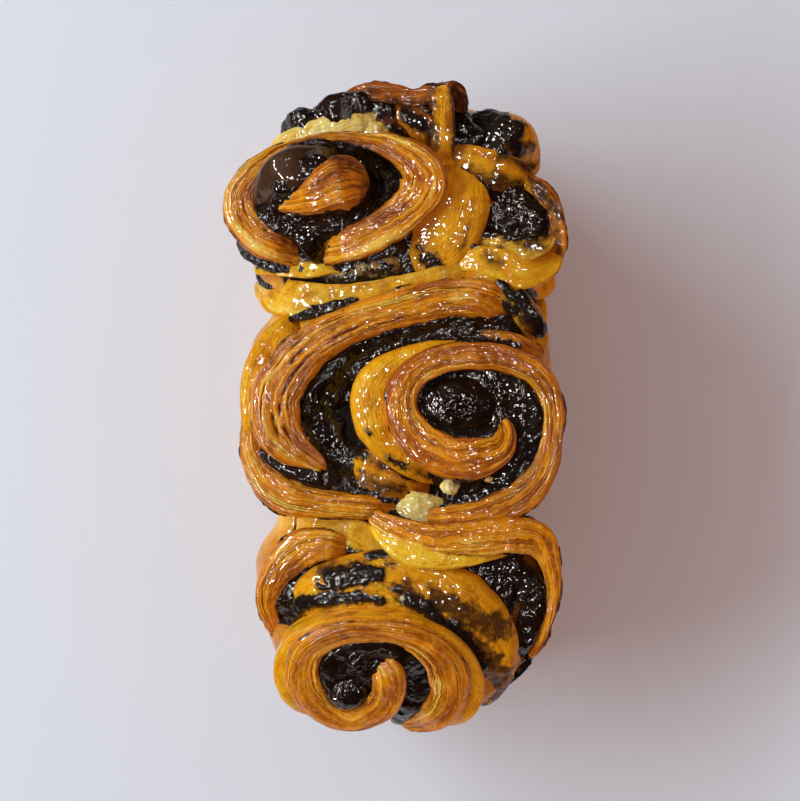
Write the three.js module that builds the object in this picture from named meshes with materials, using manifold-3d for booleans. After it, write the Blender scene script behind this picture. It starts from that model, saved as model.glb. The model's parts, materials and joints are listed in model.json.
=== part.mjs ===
// A chocolate brioche loaf: laminated dough spread with chocolate, rolled, cut across and baked
// cut side up in a loaf tin. It bakes into one solid piece, so it is one mesh.
// Millimetres, +Z up. The origin is the centre of the flat base, +Y runs along the loaf.
//
// The solid is a tin-shaped body with the rolls' dough bands standing on it. Each band is a
// strand: a rounded section carried along a path, whose rows are [x, y, crest height, half width].

import * as THREE from "three";
import { mergeVertices } from "three/addons/utils/BufferGeometryUtils.js";
import Module from "manifold-3d";

const wasm = await Module();
wasm.setup();

// The part that the tin shaped
const BODY_HALF_WIDTH = 48;
const BODY_HALF_LENGTH = 101;
const BODY_CENTRE_X = 2;
const BODY_TOP = 64; // height of the body's crown, under the dough bands
const RIM_HEIGHT = 42; // the tin's rim, where the dough starts to bulge out over it
const SHOULDER_HEIGHT = 52; // where the walls start to turn in to the crown
const BASE_ROUND = 5; // radius of the edge round the flat base
const TIN_TAPER = 5; // how much narrower each side is at the base than at the shoulder
const CORNER_POWER = 3.8; // superellipse power of the plan, 2 is an ellipse
const WAISTS = [34, -36]; // y of the creases between the three rolls
const WAIST_WIDTH = 8;
const WAIST_DEPTH = 0.15; // share of the half width that a crease takes at the shoulder
const BODY_SIDES = 48;
// Where a roll bulges out over the rim: [side of the loaf, y, reach, half length of the bulge]
const BULGES = [
  [-1, 66, 7, 17], [-1, 4, 3, 24], [-1, -58, 1.5, 16],
  [1, 57, 3, 15], [1, 2, 2.5, 26], [1, -56, 2, 18],
];

// How finely a strand is drawn
const SECTION_SIDES = 8;
const STEPS_PER_ROW = 2;
const END_ROUND = 0.28; // power that rounds a strand's ends: lower is blunter
const CROWN_SHARE = 0.7; // rise of the rounded top, as a share of the half width
const CROWN_POWER = 0.7; // flattens the top and squares its edges: 1 is a plain ellipse
const ROOT_TAPER = 0.25; // how much narrower a strand is at its foot
const STRAND_DEPTH = 20;
const SLIVER = 0.12; // the finest detail kept once the bands are joined

const FLAT = [0, 0, 1];
// The end roll leans out over the end of the tin, so its cut face looks up and forward.
const END_LEAN = THREE.MathUtils.degToRad(34);
const LEANING = [0, -Math.sin(END_LEAN), Math.cos(END_LEAN)];

const strands = {
  // First roll, at the far end
  first_ring: {
    rows: [
      [-23, 53, 70, 3.2], [-14, 55, 73, 4.2], [-5, 58.5, 75, 4.8], [3, 63, 76, 5.6], [9, 70, 77, 7],
      [8.5, 77, 76, 6.4], [1, 82, 75, 4.2], [-10, 85.5, 74, 2.8], [-22, 87, 72, 2.2],
      [-34, 84.5, 70, 2.6], [-44, 79, 70, 4], [-50, 71, 70, 4.8], [-51, 63, 69, 4.8],
      [-46, 56.5, 69, 5], [-36, 53, 68, 4.4], [-26, 49.5, 66, 3],
    ],
  },
  first_core: {
    rows: [
      [-38, 67, 78, 1.6], [-31, 67, 81, 3.4], [-24, 67, 83, 4.6], [-17, 69, 84, 5.4],
      [-13.2, 74, 83, 5.2], [-15, 79, 81, 3.6],
    ],
  },
  first_core_filling: {
    rows: [
      [-44, 70, 72, 3], [-38, 76, 76, 5.5], [-29, 78, 78, 6], [-21, 78, 77, 4.5],
    ],
  },
  first_filling: {
    rows: [
      [-15, 83, 68, 2.4], [-4, 77, 62, 3.6], [-2.5, 70, 66, 4], [-9, 63, 70, 3.2],
      [-22, 60, 71, 3.4], [-34, 61, 71, 3.6], [-42, 66, 70, 3],
    ],
  },
  crest_wall: { rows: [[-14, 95, 67, 5], [-2, 94, 67, 8], [10, 94, 67, 8], [20, 91, 67, 6]] },
  crest_rim: {
    rows: [
      [-16, 99, 70, 3], [-8, 102, 73, 2.4], [5, 101, 72, 2.4], [16, 102, 74, 2.8],
      [22, 98, 70, 2.6],
    ],
  },
  crest_filling: {
    rows: [
      [-36, 87, 62, 4], [-30, 91.5, 69, 5], [-22, 94, 70, 4.5], [-12, 97, 72, 4],
    ],
  },
  crest_rib: { rows: [[17.5, 102, 74, 2.4], [17.5, 92, 74, 2.6], [18, 82, 71, 2.6]] },
  corner_lobe: { rows: [[23, 89, 65, 5], [31, 87.5, 69, 8.5], [38, 82, 68, 8.5], [40, 75, 62, 5]] },
  side_lip: {
    rows: [
      [34, 75, 62, 2.4], [43, 71.5, 66, 3], [50.5, 65, 67, 3.2], [53, 56, 66, 2.7],
      [50.5, 48.5, 65, 3.6], [43, 45, 66, 4.2], [33, 46.5, 68, 3.8], [23, 48, 68, 2.8],
    ],
  },
  side_filling: { rows: [[29, 67, 62, 3.4], [37, 66, 64, 4.6], [44, 63, 63, 5], [48, 57, 61, 3]] },
  side_lower_lobe: { rows: [[36, 40, 63, 4], [44, 41, 61, 5], [50, 44, 57, 4]] },
  saddle: {
    rows: [
      [13, 80, 67, 4], [18, 71, 71, 7], [20, 61, 72, 8.5], [15, 53, 70, 7], [8, 50, 66, 4],
    ],
  },
  waist_fold: {
    rows: [
      [-43, 38, 58, 4], [-33, 36.5, 64, 4.6], [-20, 38, 67, 3.6], [-6, 39, 68, 3], [10, 43, 69, 3],
      [26, 45, 69, 3.4],
    ],
  },
  waist_skin: {
    rows: [
      [-41, 31, 54, 4.5], [-33, 30, 62, 4.5], [-22, 32, 66, 3.5], [-10, 34, 67, 2.5],
    ],
  },

  // Middle roll, the largest
  middle_ring: {
    rows: [
      [30, 35, 71, 5.6], [20, 35.3, 74, 6.2], [5, 33.6, 75, 6], [-10, 29.3, 76, 5.8],
      [-23, 23.5, 76, 6], [-33, 14.5, 75, 7], [-38.3, 3, 75, 7.8], [-37, -7, 74, 7],
      [-30, -14, 73, 5], [-23, -18.5, 70, 3],
    ],
  },
  middle_skin: {
    rows: [
      [-37, 27, 62, 3], [-45, 19, 64, 3.4], [-48, 8, 64, 3.2], [-48.5, -3, 63, 3],
      [-46.5, -12, 61, 2.6],
    ],
  },
  middle_filling: {
    rows: [
      [44, 26, 64, 3], [30, 26.5, 68, 2.8], [12, 25, 68, 3], [-3, 21.5, 67, 4], [-14, 14, 64, 6],
      [-21, 4, 62, 7], [-20, -6, 61, 6],
    ],
  },
  inner_roll: {
    rows: [
      [34.5, -4, 77, 2.4], [33, -11.5, 80, 4.6], [26, -15.5, 81, 6], [16, -15, 82, 6.4],
      [7, -10, 81, 6], [1, -1, 80, 5], [2, 9, 79, 4.6], [10, 14.8, 79, 4.4], [22, 16.6, 78, 4.2],
      [35, 15.8, 76, 4.2], [46, 11, 74, 4.6], [51, 1, 73, 3.6], [49.5, -12, 73, 4.2],
      [44.5, -23, 72, 5.2], [35.5, -30.5, 71, 5], [22, -35, 70, 4.4], [8, -36.5, 68, 3.6],
    ],
  },
  inner_roll_side: {
    rows: [
      [2, 17, 70, 4], [-6, 11, 73, 5.5], [-9, 2, 74, 6.5], [-6.5, -8, 73, 6], [1, -16.5, 71, 5],
      [10, -21.5, 69, 3],
    ],
  },
  inner_filling: {
    rows: [
      [9, 4, 73, 4.6], [18, 2.5, 75, 9], [27, 2, 74, 9], [36, 4, 71, 7.4], [42.5, -3, 70, 5.4],
      [43, -13, 69, 4.4], [37, -23, 67, 4.4], [27, -27.5, 66, 3],
    ],
  },
  sliver_filling: {
    rows: [
      [-45, -10, 66, 1.8], [-40, -15, 69, 3], [-32, -20, 70, 3.3], [-24, -23, 70, 3],
    ],
  },
  lower_band: {
    rows: [
      [-47, -13, 60, 2.6], [-42.5, -21.5, 65, 3.8], [-34, -27.5, 68, 4.4], [-23, -30.3, 69, 4.2],
      [-12, -30.7, 69, 3.6],
    ],
  },
  pocket_fold: { rows: [[-19, -18, 66, 3], [-10, -21, 68, 4], [0, -25, 67, 4], [8, -28, 64, 3]] },
  neck_filling: {
    rows: [
      [38, 41, 65, 3], [43, 36, 66, 3.6], [46, 29, 63, 3.2], [47, 21, 59, 2.6],
    ],
  },

  // Last roll, leaning out at the near end
  last_wrap: {
    rows: [
      [-6, -37, 67, 3], [2, -42.5, 70, 5], [12, -45, 71, 5.4], [24, -43.5, 70, 5.4],
      [36, -41, 68, 5.6], [45.5, -42.5, 66, 5.4], [50.5, -51, 65, 3.4], [52, -61, 64, 2.6],
      [49.5, -71, 62, 2.4], [45, -80, 60, 2.2],
    ],
  },
  last_left_lobe: {
    rows: [
      [-14, -47, 64, 3.4], [-24, -46, 67, 4.6], [-33, -47.5, 68, 4.8], [-40, -54, 67, 3.8],
      [-42, -62, 65, 3], [-40, -70, 61, 2.6], [-36.5, -77, 57, 2],
    ],
  },
  last_left_skin: { rows: [[-38, -39, 56, 3], [-28, -39.5, 62, 3.4], [-18, -40, 64, 3.4]] },
  last_gap: { rows: [[-32, -36, 60, 3], [-18, -36.5, 63, 4], [-8, -40, 63, 4.4]] },
  last_shoulder: {
    rows: [
      [-34, -73, 61, 4], [-26, -63, 69, 8], [-9, -58, 73, 9.5], [8, -59, 73, 9.5],
      [22, -65, 71, 9.5], [31, -76, 66, 7.5], [31, -88, 58, 5],
    ],
  },
  last_filling: {
    rows: [
      [24, -52, 61, 2.6], [36, -53, 61, 3.6], [44, -57, 60, 5], [44, -67, 59, 4.6],
      [40, -78, 57, 3.2], [36, -87, 54, 2.2],
    ],
  },
  last_face: {
    up: LEANING,
    rows: [
      [-9, -80.5, 73, 2.4], [-4, -83.5, 72, 4], [-1.5, -90, 67, 4.6], [-5, -97.5, 62, 4.6],
      [-15, -101.8, 58, 5], [-25, -97.5, 60, 5.8], [-29.5, -87, 66, 6.4], [-26, -77.5, 73, 5.6],
      [-15, -71.5, 77, 4.8], [-1, -70.5, 78, 4.8], [11, -75.5, 74, 6], [18.5, -86, 67, 7.6],
      [17.5, -96.5, 60, 6.8], [8, -102, 56, 5.2], [-4, -103.5, 54, 3.8],
    ],
  },
  last_face_filling: {
    up: LEANING,
    rows: [
      [-13, -91, 66, 3.6], [-18, -92, 64, 4], [-20, -86, 68, 3.4], [-14, -79, 72, 3],
      [-3, -77.5, 73, 2.8], [6, -83, 69, 4], [8, -92, 62, 4], [3, -99, 57, 3.4],
    ],
  },
  last_crumbs: { rows: [[46, -80, 52, 2], [40, -87.5, 50, 2.2], [32, -93, 48, 2]] },
};

// Turns a geometry into a solid: only its positions are kept, with shared corners merged.
function solidFrom(geometry) {
  geometry.deleteAttribute("normal");
  geometry.deleteAttribute("uv");
  const merged = mergeVertices(geometry, 1e-3);
  return new wasm.Manifold(
    new wasm.Mesh({
      numProp: 3,
      vertProperties: merged.getAttribute("position").array,
      triVerts: new Uint32Array(merged.index.array),
    }),
  );
}

// A unit sphere stretched along a path: its poles become the strand's ends, and each ring of
// latitude becomes a section with a rounded crown above and a long narrowing root below.
function strand({ rows, up = FLAT }) {
  const path = new THREE.CatmullRomCurve3(rows.map(([x, y, z]) => new THREE.Vector3(x, y, z)));
  const girth = new THREE.CatmullRomCurve3(rows.map((row) => new THREE.Vector3(row[3], 0, 0)));
  const upward = new THREE.Vector3(...up);
  const geometry = new THREE.SphereGeometry(1, SECTION_SIDES, STEPS_PER_ROW * rows.length);
  const position = geometry.getAttribute("position");
  for (let i = 0; i < position.count; i++) {
    const latitude = THREE.MathUtils.clamp(position.getY(i), -1, 1);
    const along = 1 - Math.acos(latitude) / Math.PI;
    const ring = Math.sqrt(1 - latitude * latitude);
    const turn = Math.atan2(position.getX(i), position.getZ(i));
    const halfWidth = girth.getPoint(along).x * ring ** END_ROUND;
    const across = path.getTangent(along).cross(upward).normalize();
    const rise = Math.cos(turn);
    const narrowing = rise < 0 ? 1 + ROOT_TAPER * rise : 1;
    const crown = CROWN_SHARE * halfWidth;
    const root = STRAND_DEPTH * rise * ring ** END_ROUND - crown;
    const height = rise > 0 ? crown * (rise ** CROWN_POWER - 1) : root;
    const point = path
      .getPoint(along)
      .addScaledVector(across, halfWidth * narrowing * Math.sin(turn))
      .addScaledVector(upward, height);
    position.setXYZ(i, point.x, point.y, point.z);
  }
  return solidFrom(geometry);
}

// A bell curve: 1 in the middle, dying away over a width.
function bell(distance, width) {
  return Math.exp(-((distance / width) ** 2));
}

// The share of the half width that the creases between the rolls leave at a place on the side.
function waistShare(y, z) {
  const depth = WAIST_DEPTH * THREE.MathUtils.smoothstep(z, 0, SHOULDER_HEIGHT);
  const crease = WAISTS.reduce((sum, waist) => sum + bell(y - waist, WAIST_WIDTH), 0);
  return 1 - depth * crease;
}

// How far the dough stands out over the tin's rim at a place on one side.
function bulgeReach(side, y, z) {
  const risen = THREE.MathUtils.smoothstep(z, RIM_HEIGHT - 10, SHOULDER_HEIGHT);
  const here = BULGES.filter((bulge) => bulge[0] === side);
  return risen * here.reduce((sum, [, centre, reach, half]) => sum + reach * bell(y - centre, half), 0);
}

// How far the plan's edge lies from its middle, as a share of the half width and half length.
function superellipse(angle) {
  const across = Math.abs(Math.cos(angle)) ** CORNER_POWER;
  const along = Math.abs(Math.sin(angle)) ** CORNER_POWER;
  return (across + along) ** (-1 / CORNER_POWER);
}

// The tin-shaped body: a lathed unit profile spread out to the loaf's rounded oblong plan.
function body() {
  const wallFoot = 1 - BASE_ROUND / BODY_HALF_WIDTH;
  const profile = [
    [0, 0], [0.5, 0], [wallFoot, 0], [1 - 0.3 * (1 - wallFoot), 0.3 * BASE_ROUND], [1, BASE_ROUND],
    [1, 0.5 * RIM_HEIGHT], [1, RIM_HEIGHT], [1, SHOULDER_HEIGHT], [0.96, SHOULDER_HEIGHT + 6],
    [0.86, SHOULDER_HEIGHT + 10], [0.6, BODY_TOP - 1], [0, BODY_TOP],
  ];
  const geometry = new THREE.LatheGeometry(profile.map(([r, z]) => new THREE.Vector2(r, z)), BODY_SIDES);
  geometry.rotateX(Math.PI / 2);
  const position = geometry.getAttribute("position");
  for (let i = 0; i < position.count; i++) {
    const reach = Math.hypot(position.getX(i), position.getY(i));
    const angle = Math.atan2(position.getY(i), position.getX(i));
    const z = position.getZ(i);
    const spread = superellipse(angle);
    const taper = TIN_TAPER * (1 - THREE.MathUtils.clamp(z / RIM_HEIGHT, 0, 1));
    const y = reach * spread * Math.sin(angle) * (BODY_HALF_LENGTH - taper);
    const side = Math.sign(Math.cos(angle));
    const bulge = side * bulgeReach(side, y, z) * reach * Math.abs(Math.cos(angle)) ** 0.5;
    const x = reach * spread * Math.cos(angle) * (BODY_HALF_WIDTH - taper) * waistShare(y, z) + bulge;
    position.setXYZ(i, BODY_CENTRE_X + x, y, z);
  }
  return solidFrom(geometry);
}

// A solid's surface as a geometry that three.js can draw.
function geometryFrom(solid) {
  const { vertProperties, triVerts } = solid.getMesh();
  const geometry = new THREE.BufferGeometry();
  geometry.setAttribute("position", new THREE.BufferAttribute(vertProperties, 3));
  geometry.setIndex(new THREE.BufferAttribute(triVerts, 1));
  geometry.computeVertexNormals();
  return geometry;
}

// The loaf's outer surface alone: bubbles shut in between crossing bands are filled with dough,
// and slivers left where two bands only graze each other are smoothed away.
function outerSurface(solid) {
  const shells = solid.simplify(SLIVER).decompose();
  return shells.reduce((most, shell) => (shell.volume() > most.volume() ? shell : most));
}

const crust = new THREE.MeshStandardMaterial({ color: 0xc87a1e, roughness: 0.42, metalness: 0 });
const fused = Object.values(strands).reduce((whole, shape) => whole.add(strand(shape)), body());
const mesh = new THREE.Mesh(geometryFrom(outerSurface(fused)), crust);
mesh.name = "brioche_loaf";

const brioche = new THREE.Group();
brioche.add(mesh);
export default brioche;
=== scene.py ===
"""A chocolate brioche loaf, baked as one piece in a small tin and turned out.

Three rolls of laminated dough stand in a row, filled with chocolate. Every band of dough and every run of
filling is a strand: a rounded section carried along a smooth path. The strands are listed roll by roll, in
millimetres, with their origin at the middle of the flat base, +Y along the loaf and +Z up.
"""

import json
import logging
import math
from dataclasses import dataclass, field
from enum import Enum

import bpy
import numpy as np
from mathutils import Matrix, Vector

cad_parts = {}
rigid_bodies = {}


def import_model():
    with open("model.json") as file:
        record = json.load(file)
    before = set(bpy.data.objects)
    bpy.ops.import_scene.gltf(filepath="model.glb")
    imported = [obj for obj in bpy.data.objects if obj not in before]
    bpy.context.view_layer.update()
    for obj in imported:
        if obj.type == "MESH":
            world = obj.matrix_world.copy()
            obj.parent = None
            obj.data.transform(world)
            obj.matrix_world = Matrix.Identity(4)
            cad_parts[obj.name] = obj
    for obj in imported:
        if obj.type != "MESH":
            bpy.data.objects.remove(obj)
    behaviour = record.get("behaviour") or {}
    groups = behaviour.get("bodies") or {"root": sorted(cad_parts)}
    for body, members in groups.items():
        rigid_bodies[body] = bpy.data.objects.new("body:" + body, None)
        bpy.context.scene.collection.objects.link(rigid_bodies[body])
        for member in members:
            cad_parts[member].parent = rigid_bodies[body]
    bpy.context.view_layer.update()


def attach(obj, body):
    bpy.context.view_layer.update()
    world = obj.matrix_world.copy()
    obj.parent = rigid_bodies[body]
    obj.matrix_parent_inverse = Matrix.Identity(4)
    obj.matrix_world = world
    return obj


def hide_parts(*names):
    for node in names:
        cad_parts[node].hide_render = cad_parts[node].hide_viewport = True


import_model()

LOAF_NODE = "brioche_loaf"
MM = 0.001
FINE = 0.36          # distance in mm between the points of a strand's upper face
SEED = 20
TAU = 2 * math.pi
SPAN_STEPS = 32      # points worked out on each span of a path
SMEAR_FALL = 0.32    # how much a smear's mask falls per mm across its edge

Array = np.ndarray
Row = tuple[float, ...]
Rows = tuple[Row, ...]
Dab = tuple[float, float, float, float, float]

logging.basicConfig(level=logging.INFO, format="%(message)s")
log = logging.getLogger("brioche")


class Surface(Enum):
    """What a strand is made of, and so how its surface is shaped and finished."""

    CUT = "cut"              # the sliced edge of the rolled dough, with its layers showing
    ROLLED = "rolled"        # the dough's own smooth skin
    PALE = "pale"            # skin that stretched in the oven and stayed pale
    TIN = "tin"              # the crust that browned against the tin
    TORN = "torn"            # pale crumb where the dough pulled apart in the oven
    CHOCOLATE = "chocolate"  # the filling
    # its lighter brown is partly the set skin's own colour and partly a painted sheen
    SET = "set"              # filling that set as a smooth brown skin


FILLINGS = (Surface.CHOCOLATE, Surface.SET)


# ---------------------------------------------------------------------------------------------------------
# Numbers


class GradientNoise:
    """Smooth noise in space, from about -1 to 1, the same on every run."""

    CELLS = 256              # the pattern repeats after this many cells, a power of two
    STRETCH = 1.7            # brings the blended slopes up to about -1 to 1
    OCTAVE_SUM = 1.6         # brings the sum of the octaves back down to the same
    OCTAVE_SHIFT = 17.3      # moves each octave, so that their cells don't line up

    def __init__(self, seed: int) -> None:
        """Fills the tables.

        Args:
            seed: the number that the random tables start from.
        """
        random = np.random.default_rng(seed)
        self.table = random.permutation(self.CELLS)
        vectors = random.normal(size=(self.CELLS, 3))
        self.vectors = vectors / np.linalg.norm(vectors, axis=1, keepdims=True)

    def at(self, points: Array) -> Array:
        """Reads the noise: each cell corner's random slope, blended by a smooth step across the cell.

        Args:
            points: an array of places, three numbers each, with cells one unit wide.

        Returns:
            One value for each place.
        """
        last = self.CELLS - 1
        cell = np.floor(points).astype(int)
        part = points - cell
        ease = part**3 * (part * (part * 6 - 15) + 10)
        total = np.zeros(points.shape[:-1])
        for corner in np.ndindex(2, 2, 2):
            ids = (cell + corner) & last
            key = self.table[(self.table[ids[..., 0]] + ids[..., 1]) & last]
            key = self.table[(key + ids[..., 2]) & last]
            share = np.where(corner, ease, 1 - ease)
            slope = (self.vectors[key] * (part - corner)).sum(axis=-1)
            total += share[..., 0] * share[..., 1] * share[..., 2] * slope
        return total * self.STRETCH

    def layered(self, points: Array, octaves: int = 3) -> Array:
        """Adds octaves of the noise, each twice as fine and half as strong as the one before.

        Args:
            points: the places.
            octaves: how many are added.

        Returns:
            One value for each place, from about -1 to 1.
        """
        total = sum(self.at(points * 2**k + self.OCTAVE_SHIFT * k) / 2**k for k in range(octaves))
        return total / self.OCTAVE_SUM


NOISE = GradientNoise(SEED)


def smooth_step(low: float, high: float, value: Array) -> Array:
    """Eases from 0 at low to 1 at high, level at both ends."""
    share = np.clip((value - low) / (high - low), 0, 1)
    return share * share * (3 - 2 * share)


def signed_power(value: Array, power: float) -> Array:
    """Raises the size of each value to a power and keeps its sign."""
    return np.sign(value) * np.abs(value) ** power


def spline(rows: Rows) -> tuple[Array, Array]:
    """Carries a Catmull-Rom curve through the rows: on each span, the cubic set by the four nearest rows.

    Args:
        rows: the rows that the curve passes through, of any width.

    Returns:
        The curve's rows, SPAN_STEPS to a span, and the length in mm from the start to each of them.
    """
    row = np.array(rows, float)
    padded = np.vstack([2 * row[0] - row[1], row, 2 * row[-1] - row[-2]])
    place = np.linspace(0, len(row) - 1, SPAN_STEPS * (len(row) - 1) + 1)
    span = np.minimum(place.astype(int), len(row) - 2)
    t = (place - span)[:, None]
    a, b, c, d = (padded[span + k] for k in range(4))
    curve = b + 0.5 * t * (c - a + t * (2 * a - 5 * b + 4 * c - d + t * (3 * b - a - 3 * c + d)))
    steps = np.linalg.norm(np.diff(curve[:, :3], axis=0), axis=1)
    return curve, np.concatenate([[0], np.cumsum(steps)])


def mask_of_dabs(points: Array, dabs: tuple[Dab, ...], ragged: float = 0.5) -> Array:
    """Says how much of the surface a set of smears covers. Each smear runs from one point to another on the
    plan, and the mask falls from 1 to 0 over its edge, which noise makes ragged.

    Args:
        points: the surface's places in mm.
        dabs: each smear's two ends x, y, x, y and its half width.
        ragged: how far the edge wanders, as a share of the half width.

    Returns:
        A mask from 0 to 1.
    """
    mask = np.zeros(points.shape[:-1])
    if not dabs:
        return mask
    # the edge wanders over 4 mm, and crumbs of 1.2 mm break it up
    wander, crumbs = NOISE.layered(points / 4.0, 4), NOISE.at(points / 1.2)
    for x0, y0, x1, y1, radius in dabs:
        start, way = np.array((x0, y0)), np.array((x1 - x0, y1 - y0))
        away = points[..., :2] - start
        share = np.clip((away @ way) / max(way @ way, 1e-6), 0, 1)
        distance = np.linalg.norm(away - share[..., None] * way, axis=-1)
        edge = radius * (1 + ragged * wander) - distance + 0.5 * crumbs
        mask = np.maximum(mask, np.clip(0.5 + SMEAR_FALL * edge, 0, 1))
    return mask


# ---------------------------------------------------------------------------------------------------------
# Meshes


@dataclass
class Grid:
    """A closed surface: rows of points round a section, with a pole at each end."""

    points: Array                                    # rows, round, xyz in mm
    masks: dict[str, Array] = field(default_factory=dict)

    def normals(self) -> Array:
        """Works out the outward direction at each point from its neighbours on the grid."""
        along = np.gradient(self.points, axis=0)
        around = np.roll(self.points, -1, axis=1) - np.roll(self.points, 1, axis=1)
        normal = np.cross(around, along)
        return normal / np.maximum(np.linalg.norm(normal, axis=-1, keepdims=True), 1e-9)

    def push(self, height: Array) -> None:
        """Moves each point out along its normal by a height in mm."""
        self.points = self.points + self.normals() * height[..., None]

    def to_object(self, name: str) -> bpy.types.Object:
        """Makes the mesh: a quad between each four neighbours, and a fan at each pole.

        Args:
            name: the piece's name.

        Returns:
            The new object, at the origin, with one point attribute for each mask.
        """
        rows, around = self.points.shape[:2]
        inner = self.points[1:-1].reshape(-1, 3)
        count = len(inner)
        vertices = np.vstack([inner, self.points[0].mean(axis=0), self.points[-1].mean(axis=0)])
        index = np.arange(count).reshape(rows - 2, around)
        after = np.roll(index, -1, axis=1)
        quads = np.stack([index[:-1], after[:-1], after[1:], index[1:]], axis=-1).reshape(-1, 4)
        first = np.stack([after[0], index[0], np.full(around, count)], axis=-1)
        last = np.stack([index[-1], after[-1], np.full(around, count + 1)], axis=-1)
        if self.volume(quads, vertices) < 0:
            quads, first, last = quads[:, ::-1], first[:, ::-1], last[:, ::-1]
        mesh = bpy.data.meshes.new(name)
        mesh.vertices.add(len(vertices))
        mesh.vertices.foreach_set("co", (vertices * MM).astype(np.float32).ravel())
        corners = np.concatenate([quads.ravel(), first.ravel(), last.ravel()])
        sizes = np.concatenate([np.full(len(quads), 4), np.full(2 * around, 3)])
        mesh.loops.add(len(corners))
        mesh.loops.foreach_set("vertex_index", corners.astype(np.int32))
        mesh.polygons.add(len(sizes))
        starts = np.concatenate([[0], np.cumsum(sizes)[:-1]])
        mesh.polygons.foreach_set("loop_start", starts.astype(np.int32))
        mesh.polygons.foreach_set("use_smooth", np.ones(len(sizes), bool))
        mesh.update(calc_edges=True)
        for mask, values in self.masks.items():
            ends = [values[0].mean(), values[-1].mean()]
            flat = np.concatenate([values[1:-1].ravel(), ends]).astype(np.float32)
            mesh.attributes.new(mask, "FLOAT", "POINT").data.foreach_set("value", flat)
        piece = bpy.data.objects.new(name, mesh)
        bpy.context.scene.collection.objects.link(piece)
        return piece

    @staticmethod
    def volume(quads: Array, vertices: Array) -> float:
        """Adds up the signed volumes under the quads, which is negative where the surface is inside out."""
        a, b, c, d = (vertices[quads[:, k]] for k in range(4))
        return float((np.cross(a, b) * c + np.cross(a, c) * d).sum())


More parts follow.
